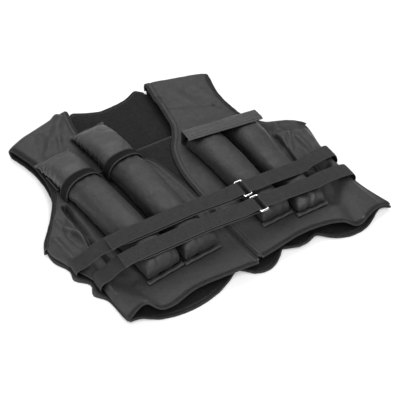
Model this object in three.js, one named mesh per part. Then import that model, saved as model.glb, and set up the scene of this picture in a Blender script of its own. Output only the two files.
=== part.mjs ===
// A weighted vest laid on its back with the front up: a padded back panel, two front panels that fold over
// from it at the shoulders, four long weight pockets with sandbags in them, two flaps, two side straps drawn
// through wire rings, and the bindings of every edge. X is the wearer's left, Y runs towards the neck, Z is up.
import * as THREE from "three";

// Driving sizes, in millimetres.
const bodyLength = 485;
const halfChest = 265;
const backThickness = 6;
const frontThickness = 3.5;
const torsoGap = 18;
const seamGap = 0.3;

const armholeBindingWidth = 10;
const pipingWidth = 6;
const hemBindingWidth = 8;
const neckBindingWidth = 8;
const closingGap = 1;

const pocketWidth = 70;
const pocketHeight = 43;
const pocketWall = 1.5;
const pocketSpacing = 1.5;
const bagClearance = 0.4;
const pressedRun = [0.15, 0.5];
const seamLip = 6;
const lipThickness = 3;

const bandLength = 20;
const bandThickness = 1.5;
const flapThickness = 2;
const flapReach = 38;
const flapSkirt = 2.5;
const flapSlack = 0.08;
const flapCorner = 7;
const cornerCut = 0.3;
const flapCrown = 0.8;

const webbingWidth = 30;
const webbingThickness = 1.8;
const webbingClearance = 0.5;
const ringWire = 3.5;
const ringDepth = 18;
const ringEnds = 1;
const sewnEndLength = 38;

const underlapThickness = 1.5;
const underlapReach = 38;

// Height of a front panel's underside where it meets the back, and of its flat pocket field.
const seamLevel = backThickness + seamGap;
const fieldUnderside = seamLevel + torsoGap;
const fieldTop = fieldUnderside + frontThickness;

// Sections of the two front panels from the hem up to the shoulder fold. inner, outer: sideways place of the
// front edge and of the side or armhole, as shares of the half chest. innerUp, outerUp: their height above the
// hem line, as shares of the body length. seam: where the flat pocket field ends, as a share of the way out.
// dip, brow, rise: lift of the cloth between field and side, near the side and at the side, as shares of the
// gap for the torso. bound: 1 where the armhole binding runs.
const rightSections = [
  { inner: 0.06, innerUp: -0.004, outer: -0.834, outerUp: 0.031, seam: 0.79, dip: 0.8, brow: 0.5, rise: 0, bound: 0 },
  { inner: 0.038, innerUp: 0.113, outer: -0.86, outerUp: 0.124, seam: 0.8, dip: 0.6, brow: 0.45, rise: 0, bound: 0 },
  { inner: 0.025, innerUp: 0.237, outer: -0.906, outerUp: 0.227, seam: 0.8, dip: 0.45, brow: 0.4, rise: 0, bound: 0 },
  { inner: 0.015, innerUp: 0.371, outer: -0.951, outerUp: 0.34, seam: 0.77, dip: 0.35, brow: 0.4, rise: 0, bound: 0 },
  { inner: -0.026, innerUp: 0.526, outer: -1.012, outerUp: 0.43, seam: 0.75, dip: 0.35, brow: 0.45, rise: 0.3, bound: 0.4 },
  { inner: -0.058, innerUp: 0.598, outer: -0.935, outerUp: 0.507, seam: 0.77, dip: 0.5, brow: 0.5, rise: 0.45, bound: 1 },
  { inner: -0.109, innerUp: 0.631, outer: -0.857, outerUp: 0.565, seam: 0.81, dip: 0.75, brow: 0.65, rise: 0.6, bound: 1 },
  { inner: -0.234, innerUp: 0.658, outer: -0.793, outerUp: 0.629, seam: 0.8, dip: 0.92, brow: 0.85, rise: 0.75, bound: 1 },
  { inner: -0.325, innerUp: 0.711, outer: -0.766, outerUp: 0.701, seam: 0.75, dip: 0.95, brow: 0.87, rise: 0.75, bound: 1 },
  { inner: -0.362, innerUp: 0.804, outer: -0.766, outerUp: 0.763, seam: 0.75, dip: 0.95, brow: 0.87, rise: 0.75, bound: 1 },
  { inner: -0.374, innerUp: 0.897, outer: -0.781, outerUp: 0.835, seam: 0.75, dip: 0.95, brow: 0.87, rise: 0.75, bound: 1 },
  { inner: -0.343, innerUp: 1, outer: -0.834, outerUp: 0.93, seam: 0.75, dip: 0.93, brow: 0.83, rise: 0.7, bound: 1 },
];
const leftSections = [
  { inner: 0.06, innerUp: 0.006, outer: 1.072, outerUp: 0.01, seam: 0.64, dip: 0.6, brow: 0.5, rise: 0, bound: 0 },
  { inner: 0.038, innerUp: 0.113, outer: 1.011, outerUp: 0.138, seam: 0.69, dip: 0.7, brow: 0.8, rise: 0, bound: 0 },
  { inner: 0.025, innerUp: 0.237, outer: 0.996, outerUp: 0.247, seam: 0.72, dip: 0.85, brow: 1.15, rise: 0, bound: 0 },
  { inner: 0.019, innerUp: 0.371, outer: 0.996, outerUp: 0.365, seam: 0.74, dip: 1, brow: 1.3, rise: 0, bound: 0 },
  { inner: 0.026, innerUp: 0.505, outer: 1.008, outerUp: 0.485, seam: 0.75, dip: 1.15, brow: 1.3, rise: 0.8, bound: 0.4 },
  { inner: 0.075, innerUp: 0.612, outer: 0.917, outerUp: 0.548, seam: 0.83, dip: 1.1, brow: 1.15, rise: 1, bound: 1 },
  { inner: 0.151, innerUp: 0.68, outer: 0.79, outerUp: 0.588, seam: 0.86, dip: 1, brow: 1, rise: 0.9, bound: 1 },
  { inner: 0.196, innerUp: 0.732, outer: 0.694, outerUp: 0.641, seam: 0.86, dip: 0.98, brow: 0.93, rise: 0.85, bound: 1 },
  { inner: 0.211, innerUp: 0.784, outer: 0.668, outerUp: 0.711, seam: 0.8, dip: 0.97, brow: 0.92, rise: 0.85, bound: 1 },
  { inner: 0.226, innerUp: 0.845, outer: 0.66, outerUp: 0.777, seam: 0.75, dip: 0.97, brow: 0.92, rise: 0.85, bound: 1 },
  { inner: 0.234, innerUp: 0.907, outer: 0.672, outerUp: 0.843, seam: 0.75, dip: 0.97, brow: 0.92, rise: 0.85, bound: 1 },
  { inner: 0.253, innerUp: 0.984, outer: 0.706, outerUp: 0.924, seam: 0.75, dip: 0.97, brow: 0.92, rise: 0.85, bound: 1 },
];
const foldRow = rightSections.length - 1;
const armpitRow = 4;
const dipPlace = 0.4;
const browPlace = 0.8;

// Folds of the cloth: ridges, or valleys where the height is negative, from one point to another. across is a
// share of the half chest, up a share of the body length. Widths and heights are shares of the two sizes.
const foldWidth = 14;
const foldHeight = 6;
const rightFolds = [
  { across: -0.728, up: 0.01, toAcross: -0.81, toUp: 0.15, width: 1.9, height: 4, tail: 0.1 },
  { across: -0.84, up: 0.52, toAcross: -0.82, toUp: 0.38, width: 0.55, height: 0.8, tail: 0.5 },
  { across: -0.93, up: 0.45, toAcross: -0.9, toUp: 0.34, width: 0.6, height: 0.7, tail: 0.4 },
  { across: -0.445, up: 0.985, toAcross: -0.53, toUp: 0.84, width: 1, height: 0.9, tail: 0.3 },
  { across: -0.62, up: 0.93, toAcross: -0.68, toUp: 0.8, width: 1, height: -0.8, tail: 0.4 },
];
const leftFolds = [
  { across: 0.766, up: -0.02, toAcross: 0.8, toUp: 0.13, width: 1.5, height: -1.7, tail: 0 },
  { across: 0.81, up: 0.55, toAcross: 0.88, toUp: 0.38, width: 0.7, height: 0.8, tail: 0.4 },
  { across: 0.875, up: 0.53, toAcross: 0.94, toUp: 0.4, width: 0.6, height: 0.7, tail: 0.3 },
  { across: 0.79, up: 0.5, toAcross: 0.785, toUp: 0.36, width: 0.7, height: -0.7, tail: 0.6 },
];
// Waves of the front hems, up into the panel where reach is positive. at and width are shares of the half
// chest, reach a share of the body length.
const rightHemWaves = [{ at: -0.6, width: 0.15, reach: -0.036 }];
const leftHemWaves = [
  { at: 0.42, width: 0.25, reach: 0.024 },
  { at: 0.79, width: 0.11, reach: -0.034 },
];
// The back hem: its notches lie above the hem line by notchUp, and its lobes hang below them by drop. at and half
// width are shares of the half chest, drop and notchUp of the body length.
const notchUp = 0.029;
const backLobes = [
  { at: -0.45, half: 0.37, drop: 0.056 },
  { at: 0.09, half: 0.16, drop: 0.045 },
  { at: 0.39, half: 0.13, drop: 0.02 },
  { at: 0.75, half: 0.25, drop: 0.062 },
];
// The back neckline: its rise above the straight line between the two front edges at the shoulder folds.
const neckline = [
  { at: 0, rise: 0 },
  { at: 0.1, rise: 0.03 },
  { at: 0.25, rise: 0.004 },
  { at: 0.4, rise: -0.014 },
  { at: 0.6, rise: -0.006 },
  { at: 0.75, rise: 0.006 },
  { at: 0.9, rise: 0.038 },
  { at: 1, rise: 0 },
];

// Pockets of each side from the front edge outwards. mouth, end: the inner edge of the first pocket at its
// mouth and its bottom, as shares of the half chest. spread: room left between the mouths. slim: width at the
// bottom as a share of that at the mouth. fill: how full the pockets are, as a share of the pocket height.
const pocketSides = {
  right: { mouth: -0.155, end: -0.091, spread: 13.5, slim: 1, fill: 1, outwards: -1 },
  left: { mouth: 0.165, end: 0.223, spread: 0.5, slim: 0.86, fill: 0.84, outwards: 1 },
};
// Each pocket: its lane counted from the front edge, where it starts and ends above the hem line, how far the
// straps press it down, how far its bag sticks out of the mouth, as shares of the body length, and how far the
// bag's end leans aside.
const pocketRows = [
  { name: "1", side: "right", lane: 1, mouthUp: 0.621, endUp: 0.115, press: 1, bagOut: 0.168, lean: 0 },
  { name: "2", side: "right", lane: 0, mouthUp: 0.633, endUp: 0.123, press: 1, bagOut: 0.222, lean: -4 },
  { name: "3", side: "left", lane: 0, mouthUp: 0.604, endUp: 0.132, press: 1, bagOut: 0, lean: 0 },
  { name: "4", side: "left", lane: 1, mouthUp: 0.584, endUp: 0.107, press: 0.8, bagOut: 0, lean: 0 },
];
// Shape of a pocket along its length and of the bag end outside it, as shares of length, width and height. The
// sleeve's hollow ends at hollowEnd; below the last row a flat lip, lipWidth of the width, is stitched down.
const hollowEnd = 0.95;
const lipWidth = 0.95;
const pocketProfile = [
  { along: 0, width: 1, height: 0.76 },
  { along: 0.07, width: 1, height: 0.86 },
  { along: 0.18, width: 1, height: 1 },
  { along: 0.5, width: 1, height: 1 },
  { along: 0.84, width: 1, height: 1 },
  { along: 0.94, width: 1, height: 0.95 },
  { along: 0.98, width: 0.98, height: 0.75 },
  { along: 1, width: 0.96, height: 0.45 },
];
const bagEndProfile = [
  { along: 0.25, width: 1, height: 0.86 },
  { along: 0.55, width: 1.02, height: 0.76 },
  { along: 0.85, width: 1.06, height: 0.46 },
  { along: 1, width: 1.08, height: 0.12 },
];

// The straps: place of the ring, and of the strap where it leaves each side and where the free end lies, in
// shares of the half chest and of the body length.
const strapRows = [
  { name: "upper", ringAt: 0.211, ringUp: 0.246, freeAt: -0.735, freeUp: 0.25, rightUp: 0.313, leftUp: 0.309 },
  { name: "lower", ringAt: 0.228, ringUp: 0.159, freeAt: -0.73, freeUp: 0.163, rightUp: 0.213, leftUp: 0.2 },
];
const sideBulge = 6;
const browInset = 14;
const strapLift = 2;
const strapEndHeight = 1;
const strapSlack = { right: 10, left: 3 };
const slackPlaces = [0.3, 0.7];
const straightness = 0.9;
const freeEndDroop = 4;
const flatShare = 0.6;
const ringCorner = 3;
const cornerSteps = 3;
const wireSides = 6;

const cloth = { color: 0x2b2b2c, roughness: 0.62, metalness: 0 };
const lining = { color: 0x1d1d1e, roughness: 0.9, metalness: 0 };
const binding = { color: 0x1b1b1c, roughness: 0.8, metalness: 0 };
const webbing = { color: 0x262627, roughness: 0.75, metalness: 0 };
const steel = { color: 0xd8d8d8, roughness: 0.25, metalness: 1 };

const vest = new THREE.Group();
vest.name = "weighted_vest";
const laid = new THREE.Group();
vest.add(laid);

function addPiece(name, geometry, finish) {
  const mesh = new THREE.Mesh(geometry, new THREE.MeshStandardMaterial(finish));
  mesh.name = name;
  laid.add(mesh);
}

const mix = (a, b, t) => a + (b - a) * t;
const upToY = (up) => up * bodyLength;

// A geometry from corner points and triangles, turned so that its faces point outwards.
function closedGeometry(points, triangles) {
  let volume = 0;
  const edge = new THREE.Vector3();
  for (const [a, b, c] of triangles) {
    edge.crossVectors(points[b], points[c]);
    volume += points[a].dot(edge);
  }
  const faces = volume > 0 ? triangles : triangles.map(([a, b, c]) => [a, c, b]);
  const geometry = new THREE.BufferGeometry();
  geometry.setAttribute(
    "position",
    new THREE.Float32BufferAttribute(points.flatMap((p) => [p.x, p.y, p.z]), 3),
  );
  geometry.setIndex(faces.flat());
  geometry.computeVertexNormals();
  return geometry;
}

// A cloth skin: rows of points on its outer face, rows of points on its inner face, and the four edges.
function skin(outerRows, innerRows) {
  const rows = outerRows.length;
  const columns = outerRows[0].length;
  const points = [...outerRows.flat(), ...innerRows.flat()];
  const outer = (r, c) => r * columns + c;
  const inner = (r, c) => rows * columns + r * columns + c;
  const triangles = [];
  const quad = (a, b, c, d) => triangles.push([a, b, c], [a, c, d]);
  for (let r = 0; r < rows - 1; r += 1) {
    for (let c = 0; c < columns - 1; c += 1) {
      quad(outer(r, c), outer(r, c + 1), outer(r + 1, c + 1), outer(r + 1, c));
      quad(inner(r, c), inner(r + 1, c), inner(r + 1, c + 1), inner(r, c + 1));
    }
    quad(outer(r, 0), outer(r + 1, 0), inner(r + 1, 0), inner(r, 0));
    quad(outer(r + 1, columns - 1), outer(r, columns - 1), inner(r, columns - 1), inner(r + 1, columns - 1));
  }
  for (let c = 0; c < columns - 1; c += 1) {
    quad(outer(0, c + 1), outer(0, c), inner(0, c), inner(0, c + 1));
    quad(outer(rows - 1, c), outer(rows - 1, c + 1), inner(rows - 1, c + 1), inner(rows - 1, c));
  }
  return closedGeometry(points, triangles);
}

// A solid through closed sections of equal point counts, with a fan over the first and the last.
function loft(sections) {
  const count = sections[0].length;
  const points = sections.flat();
  const triangles = [];
  for (let s = 0; s < sections.length - 1; s += 1) {
    for (let i = 0; i < count; i += 1) {
      const next = (i + 1) % count;
      const a = s * count + i;
      const b = s * count + next;
      triangles.push([a, b, b + count], [a, b + count, a + count]);
    }
  }
  const fan = (section, first, turned) => {
    const centre = new THREE.Vector3();
    section.forEach((p) => centre.addScaledVector(p, 1 / count));
    points.push(centre);
    for (let i = 0; i < count; i += 1) {
      const next = (i + 1) % count;
      const side = turned ? [first + next, first + i] : [first + i, first + next];
      triangles.push([points.length - 1, side[1], side[0]]);
    }
  };
  fan(sections[0], 0, false);
  fan(sections.at(-1), (sections.length - 1) * count, true);
  return closedGeometry(points, triangles);
}

// A band of cloth or webbing along a path: across is its width direction, the same all the way.
function ribbon(path, across, width, thickness) {
  const outer = [];
  const inner = [];
  path.forEach((point, i) => {
    const before = path[Math.max(i - 1, 0)];
    const after = path[Math.min(i + 1, path.length - 1)];
    const normal = new THREE.Vector3().subVectors(after, before).cross(across).normalize();
    const place = (side, face) =>
      point
        .clone()
        .addScaledVector(across, (side * width) / 2)
        .addScaledVector(normal, (face * thickness) / 2);
    outer.push([place(-1, 1), place(1, 1)]);
    inner.push([place(-1, -1), place(1, -1)]);
  });
  return skin(outer, inner);
}

// A value read between the rows of a table along a smooth curve through them.
function readSmooth(rows, column, place) {
  const last = rows.length - 1;
  const k = Math.min(Math.floor(place), last - 1);
  const t = place - k;
  const at = (i) => rows[Math.min(Math.max(i, 0), last)][column];
  const [p, q, r, s] = [at(k - 1), at(k), at(k + 1), at(k + 2)];
  return q + 0.5 * t * (r - p + t * (2 * p - 5 * q + 4 * r - s + t * (3 * (q - r) + s - p)));
}

// A value read between the rows of a table by one of its columns.
function readTable(rows, key, column, value) {
  const above = Math.max(1, rows.findIndex((row) => row[key] >= value));
  const [low, high] = [rows[above - 1], rows[above]];
  return mix(low[column], high[column], (value - low[key]) / (high[key] - low[key]));
}

function readStraight(rows, column, place) {
  const k = Math.min(Math.floor(place), rows.length - 2);
  return mix(rows[k][column], rows[k + 1][column], place - k);
}

// Height added by the folds at a point of the plan: each is a round ridge that fades along its line.
function foldLift(folds, x, y) {
  let lift = 0;
  for (const fold of folds) {
    const from = new THREE.Vector2(fold.across * halfChest, upToY(fold.up));
    const run = new THREE.Vector2(fold.toAcross * halfChest, upToY(fold.toUp)).sub(from);
    const reach = new THREE.Vector2(x, y).sub(from);
    const share = THREE.MathUtils.clamp(reach.dot(run) / run.lengthSq(), 0, 1);
    const away = reach.addScaledVector(run, -share).length() / (fold.width * foldWidth);
    if (away < 1) {
      const crest = mix(1, fold.tail, share) * fold.height * foldHeight;
      lift += crest * Math.cos((away * Math.PI) / 2) ** 2;
    }
  }
  return lift;
}

// A front panel: its plan, its height and its turn down at the shoulder. across runs 0 to 1 from the front
// edge to the side, row counts the sections, and past the last one the cloth turns down to the back panel.
class FrontPanel {
  constructor(sections, folds, waves, outwards) {
    Object.assign(this, { sections, folds, waves, outwards });
  }

  edges(row) {
    const place = Math.min(row, foldRow);
    const read = (column) => readSmooth(this.sections, column, place);
    const inset = readStraight(this.sections, "bound", place) * (armholeBindingWidth + seamGap);
    return {
      innerX: read("inner") * halfChest + this.outwards * (pipingWidth + seamGap + closingGap / 2),
      innerY: upToY(read("innerUp")),
      outerX: read("outer") * halfChest - this.outwards * inset,
      outerY: upToY(read("outerUp")),
    };
  }

  plan(across, row) {
    const { innerX, innerY, outerX, outerY } = this.edges(row);
    const x = mix(innerX, outerX, across);
    let y = mix(innerY, outerY, across);
    const fade = Math.max(0, 1 - row) ** 2;
    y += fade * (hemBindingWidth + seamGap);
    for (const wave of this.waves) {
      const away = (x / halfChest - wave.at) / wave.width;
      y += fade * upToY(wave.reach) * Math.exp(-away * away);
    }
    return { x, y };
  }

  lift(across, row) {
    const place = Math.min(row, foldRow);
    const read = (column) => readStraight(this.sections, column, place);
    const seam = read("seam");
    if (across <= seam) return 1;
    const out = (across - seam) / (1 - seam);
    if (out < dipPlace) return mix(1, read("dip"), out / dipPlace);
    if (out < browPlace) return mix(read("dip"), read("brow"), (out - dipPlace) / (browPlace - dipPlace));
    return mix(read("brow"), read("rise"), (out - browPlace) / (1 - browPlace));
  }

  // The outer face of the cloth, and its inner face when depth is the cloth's thickness.
  point(across, row, depth = 0) {
    const { x, y } = this.plan(across, row);
    const top = seamLevel + this.lift(across, row) * torsoGap + frontThickness + foldLift(this.folds, x, y);
    if (row <= foldRow) return new THREE.Vector3(x, y, top - depth);
    const turn = (row - foldRow) * Math.PI;
    const radius = (top - seamGap) / 2;
    const away = this.foldOutwards().multiplyScalar((radius - depth) * Math.sin(turn));
    return new THREE.Vector3(x + away.x, y + away.y, top - radius + (radius - depth) * Math.cos(turn));
  }

  foldOutwards() {
    const { innerX, innerY, outerX, outerY } = this.edges(foldRow);
    const away = new THREE.Vector2(innerY - outerY, outerX - innerX).normalize();
    return away.multiplyScalar(Math.sign(away.y));
  }

  // The row at which the panel's side edge or front edge reaches a height above the hem line.
  rowAt(column, y) {
    let low = 0;
    let high = foldRow;
    while (high - low > 0.001) {
      const middle = (low + high) / 2;
      if (this.edges(middle)[column] < y) low = middle;
      else high = middle;
    }
    return low;
  }

  // Height of the outer face over a point of the plan.
  heightAt(x, y) {
    let low = 0;
    let high = foldRow;
    let across = 0;
    while (high - low > 0.001) {
      const middle = (low + high) / 2;
      const { innerX, outerX } = this.edges(middle);
      across = THREE.MathUtils.clamp((x - innerX) / (outerX - innerX), 0, 1);
      if (this.plan(across, middle).y < y) low = middle;
      else high = middle;
    }
    return this.point(across, low).z;
  }
}

const panels = {
  right: new FrontPanel(rightSections, rightFolds, rightHemWaves, -1),
  left: new FrontPanel(leftSections, leftFolds, leftHemWaves, 1),
};

// Stations along the panels: even steps up to the fold, then the turn.
const rowSteps = 20;
const turnSteps = 5;
const rowStations = [];
for (let i = 0; i <= rowSteps; i += 1) rowStations.push((i / rowSteps) * foldRow);
const turnStations = [];
for (let i = 1; i <= turnSteps; i += 1) turnStations.push(foldRow + i / turnSteps);
const fieldSteps = 6;
const sideSteps = 5;

function acrossStations(panel, row) {
  const seam = readStraight(panel.sections, "seam", Math.min(row, foldRow));
  const stations = [];
  for (let i = 0; i < fieldSteps; i += 1) stations.push((seam * i) / fieldSteps);
  for (let i = 0; i <= sideSteps; i += 1) stations.push(mix(seam, 1, i / sideSteps));
  return stations;
}

// The two front panels, from the hem over the shoulder down to the back panel's top edge.
for (const [side, panel] of Object.entries(panels)) {
  const rows = [...rowStations, ...turnStations];
  const face = (depth) => rows.map((row) => acrossStations(panel, row).map((a) => panel.point(a, row, depth)));
  addPiece("front_panel_" + side, skin(face(0), face(frontThickness)), cloth);
}

// The back panel: a padded sheet of the same outline on the surface, between the two sides, with its own
// neckline between the shoulder folds and lobes along its hem.
const backShares = (() => {
  const right = panels.right.edges(foldRow);
  const left = panels.left.edges(foldRow);
  const width = left.outerX - right.outerX;
  return { neckRight: (right.innerX - right.outerX) / width, neckLeft: (left.innerX - right.outerX) / width };
})();
const cornerShare = 0.08;
const shoulderSteps = 4;
const neckSteps = 10;

function backColumns() {
  const columns = [];
  for (let i = 0; i < shoulderSteps; i += 1) columns.push((backShares.neckRight * i) / shoulderSteps);
  for (let i = 0; i < neckSteps; i += 1) columns.push(mix(backShares.neckRight, backShares.neckLeft, i / neckSteps));
  for (let i = 0; i <= shoulderSteps; i += 1) columns.push(mix(backShares.neckLeft, 1, i / shoulderSteps));
  return columns;
}

// How far the top edge of the back rises above the straight line between the shoulder tips.
function topRise(column) {
  const right = panels.right.edges(foldRow);
  const left = panels.left.edges(foldRow);
  const line = mix(right.outerY, left.outerY, column);
  if (column <= backShares.neckRight) {
    return mix(right.outerY, right.innerY, column / backShares.neckRight) - line;
  }
  if (column >= backShares.neckLeft) {
    return mix(left.innerY, left.outerY, (column - backShares.neckLeft) / (1 - backShares.neckLeft)) - line;
  }
  const share = (column - backShares.neckRight) / (backShares.neckLeft - backShares.neckRight);
  return mix(right.innerY, left.innerY, share) + upToY(readTable(neckline, "at", "rise", share)) - line;
}

function backPlan(column, row) {
  const right = panels.right.edges(row);
  const left = panels.left.edges(row);
  const x = mix(right.outerX, left.outerX, column);
  let y = mix(right.outerY, left.outerY, column);
  const nearTop = Math.max(0, (row - armpitRow) / (foldRow - armpitRow));
  y += topRise(column) * nearTop - seamGap * nearTop;
  const nearHem = Math.max(0, 1 - row);
  if (nearHem > 0) {
    let hem = hemBindingWidth + upToY(notchUp);
    const edge = Math.min(column, 1 - column);
    for (const lobe of backLobes) {
      const away = (x / halfChest - lobe.at) / lobe.half;
      hem -= upToY(lobe.drop) * Math.max(0, 1 - away * away);
    }
    y += (hem - y) * nearHem * Math.min(1, edge / cornerShare);
  }
  return { x, y };
}

const backGrid = (z) =>
  rowStations.map((row) =>
    backColumns().map((column) => {
      const { x, y } = backPlan(column, row);
      return new THREE.Vector3(x, y, z);
    }),
  );
addPiece("back_panel", skin(backGrid(backThickness), backGrid(0)), lining);

// A flat binding sewn on beyond an edge: stations hold a point on the edge's outer face, the way out of the
// cloth and the way its face looks. It is as thick as the front cloth.
function bindingStrip(stations, width) {
  const face = (depth) =>
    stations.map(({ point, out, normal }) => {
      const start = point.clone().addScaledVector(normal, -depth);
      return [start.clone().addScaledVector(out, seamGap), start.clone().addScaledVector(out, seamGap + width)];
    });
  return skin(face(0), face(frontThickness));
}

// Turns a line of edge points into stations, with the way out level and square to the line.
function edgeStations(points, outwards) {
  return points.map((point, i) => {
    const before = points[Math.max(i - 1, 0)];
    const after = points[Math.min(i + 1, points.length - 1)];
    const run = new THREE.Vector2(after.x - before.x, after.y - before.y).normalize();
    const out = new THREE.Vector3(run.y, -run.x, 0).multiplyScalar(outwards);
    return { point, out, normal: new THREE.Vector3(0, 0, 1) };
  });
}

const upward = new THREE.Vector3(0, 0, 1);

// The turn of an edge over the shoulder: the cloth's face looks up, then out, then down.
function turnEdge(panel, across, out) {
  const outwards = panel.foldOutwards();
  return turnStations.map((row) => {
    const turn = (row - foldRow) * Math.PI;
    const normal = new THREE.Vector3(outwards.x * Math.sin(turn), outwards.y * Math.sin(turn), Math.cos(turn));
    return { point: panel.point(across, row), out, normal };
  });
}

for (const [side, panel] of Object.entries(panels)) {
  // The armhole binding runs up the front, over the shoulder and down the back's armhole.
  const armholeRows = rowStations.filter((row) => row >= armpitRow);
  const front = edgeStations(armholeRows.map((row) => panel.point(1, row)), panel.outwards);
  const turned = turnEdge(panel, 1, front.at(-1).out);
  const back = [...front].reverse().map(({ point, out }) => ({
    point: new THREE.Vector3(point.x, point.y, (backThickness - frontThickness) / 2),
    out,
    normal: new THREE.Vector3(0, 0, -1),
  }));
  const armhole = [...front, ...turned, ...back.slice(1)];
  addPiece("armhole_binding_" + side, bindingStrip(armhole, armholeBindingWidth), binding);

  // The piping follows the front edge and the neckline up to the shoulder fold.
  const edge = edgeStations(rowStations.map((row) => panel.point(0, row)), -panel.outwards);
  const neckTurn = turnEdge(panel, 0, edge.at(-1).out);
  addPiece("edge_piping_" + side, bindingStrip([...edge, ...neckTurn.slice(0, -1)], pipingWidth), binding);

  // The hem binding hangs below the panel's lower edge.
  const hem = acrossStations(panel, 0).map((across) => panel.point(across, 0));
  addPiece("hem_binding_" + side, bindingStrip(edgeStations(hem, panel.outwards), hemBindingWidth), binding);
}

// The back panel's bindings at hem and neckline lie at the middle of its thickness.
function backEdge(columns, row) {
  const level = (backThickness + frontThickness) / 2;
  return columns.map((column) => {
    const { x, y } = backPlan(column, row);
    return new THREE.Vector3(x, y, level);
  });
}
addPiece("hem_binding_back", bindingStrip(edgeStations(backEdge(backColumns(), 0), 1), hemBindingWidth), binding);
// The neckline's binding runs between the two pipings, along the back's own columns.
const shoulderSpan = panels.left.edges(foldRow).outerX - panels.right.edges(foldRow).outerX;
const neckInset = (pipingWidth + 5 * seamGap) / shoulderSpan;
const neckColumns = [
  backShares.neckRight + neckInset,
  ...backColumns().slice(shoulderSteps + 1, shoulderSteps + neckSteps),
  backShares.neckLeft - neckInset,
];
addPiece("neck_binding", bindingStrip(edgeStations(backEdge(neckColumns, foldRow), -1), neckBindingWidth), binding);

// The underlap closes the gap behind the front edges.
{
  const top = fieldUnderside - seamGap;
  const low = panels.right.edges(0).innerX;
  const high = panels.right.edges(armpitRow).innerX;
  const corners = [
    { x: low, y: upToY(0.03) },
    { x: high, y: upToY(0.69) },
  ];
  const grid = (z) =>
    corners.map(({ x, y }) => [
      new THREE.Vector3(x - underlapReach, y, z),
      new THREE.Vector3(x + underlapReach + pipingWidth, y, z),
    ]);
  addPiece("front_underlap", skin(grid(top), grid(top - underlapThickness)), lining);
}

// A pocket or bag section: a flat base and a full round top. It stands square to the pocket's run.
const archSteps = 10;
const archFullness = 2.4;
function archSection(centre, sideways, width, height, base) {
  const section = [];
  for (let i = 0; i <= archSteps; i += 1) {
    const turn = (Math.PI * i) / archSteps;
    const out = -Math.sign(Math.cos(turn)) * Math.abs(Math.cos(turn)) ** (2 / archFullness);
    const up = Math.sin(turn) ** (2 / archFullness);
    section.push(
      new THREE.Vector3(
        centre.x + (sideways.x * out * width) / 2,
        centre.y + (sideways.y * out * width) / 2,
        base + up * height,
      ),
    );
  }
  return section;
}

// Where a pocket lies: its mouth and end on the field, its widths, its run and its base.
function placePocket(row) {
  const lane = pocketSides[row.side];
  const endWidth = pocketWidth * lane.slim;
  const shift = (width, gap) => lane.outwards * (width * (row.lane + 0.5) + gap * row.lane);
  const mouthX = lane.mouth * halfChest + shift(pocketWidth, lane.spread + pocketSpacing);
  const endX = lane.end * halfChest + shift(endWidth, pocketSpacing);
  const mouth = new THREE.Vector2(mouthX, upToY(row.mouthUp));
  const end = new THREE.Vector2(endX, upToY(row.endUp));
  const run = end.clone().sub(mouth);
  const length = run.length();
  run.normalize();
  const height = pocketHeight * lane.fill;
  return { ...row, mouth, end, run, length, height, endWidth, sideways: new THREE.Vector2(-run.y, run.x) };
}
const pocketBase = fieldTop + seamGap;
const pockets = pocketRows.map(placePocket);

const pocketWidthAt = (pocket, along) => mix(pocketWidth, pocket.endWidth, along);

function pocketSection(pocket, along, widthShare, heightShare, inset) {
  const centre = pocket.mouth.clone().addScaledVector(pocket.run, along * pocket.length);
  const width = pocketWidthAt(pocket, along) * widthShare - 2 * inset;
  const pressed = mix(1, pocket.press, THREE.MathUtils.smoothstep(along, ...pressedRun));
  const height = pocket.height * heightShare * pressed - 2 * inset;
  return archSection(centre, pocket.sideways, width, height, pocketBase + inset);
}

for (const pocket of pockets) {
  // The sleeve: outside from the stitched lip up to the mouth, then inside down to its closed bottom.
  const lipAlong = 1 + seamLip / pocket.length;
  const outside = [
    pocketSection(pocket, lipAlong, lipWidth, lipThickness / pocket.height, 0),
    pocketSection(pocket, 1 + seamGap / pocket.length, lipWidth, lipThickness / pocket.height, 0),
    ...[...pocketProfile].reverse().map((p) => pocketSection(pocket, p.along, p.width, p.height, 0)),
  ];
  const hollow = pocketProfile.filter((p) => p.along < hollowEnd);
  const inside = hollow.map((p) => pocketSection(pocket, p.along, p.width, p.height, pocketWall));
  addPiece("pocket_tube_" + pocket.name, loft([...outside, ...inside]), cloth);

  // The bag fills the sleeve; in an open pocket it tapers outside the mouth to a flat end seam.
  const inset = pocketWall + bagClearance;
  const held = hollow.map((p) => {
    const along = p === hollow.at(-1) ? p.along - inset / pocket.length : p.along;
    return pocketSection(pocket, along, p.width, p.height, inset);
  });
  const out = pocket.bagOut * bodyLength;
  const free = [];
  if (out > 0) {
    for (const p of [...bagEndProfile].reverse()) {
      const centre = pocket.mouth
        .clone()
        .addScaledVector(pocket.run, -p.along * out)
        .add(new THREE.Vector2(pocket.lean * p.along, 0));
      const height = (pocketHeight - 2 * inset) * p.height;
      free.push(
        archSection(centre, pocket.sideways, (pocketWidth - 2 * inset) * p.width, height, pocketBase + inset),
      );
    }
  }
  addPiece("weight_bag_" + pocket.name, loft([...free, ...held]), cloth);

  // The band round an open mouth.
  if (out > 0) {
    const reach = bandLength / pocket.length;
    const ringAt = (along, inset) => {
      const share = readTable(pocketProfile, "along", "height", along);
      const arch = pocketSection(pocket, along, 1, share, -inset);
      return arch.map((p) => new THREE.Vector3(p.x, p.y, Math.max(p.z, pocketBase)));
    };
    const steps = [0.01, 0.5, 1];
    const face = (inset) => steps.map((s) => ringAt(s * reach, inset));
    addPiece("mouth_band_" + pocket.name, skin(face(seamGap + bandThickness), face(seamGap)), webbing);
  }
}

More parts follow.
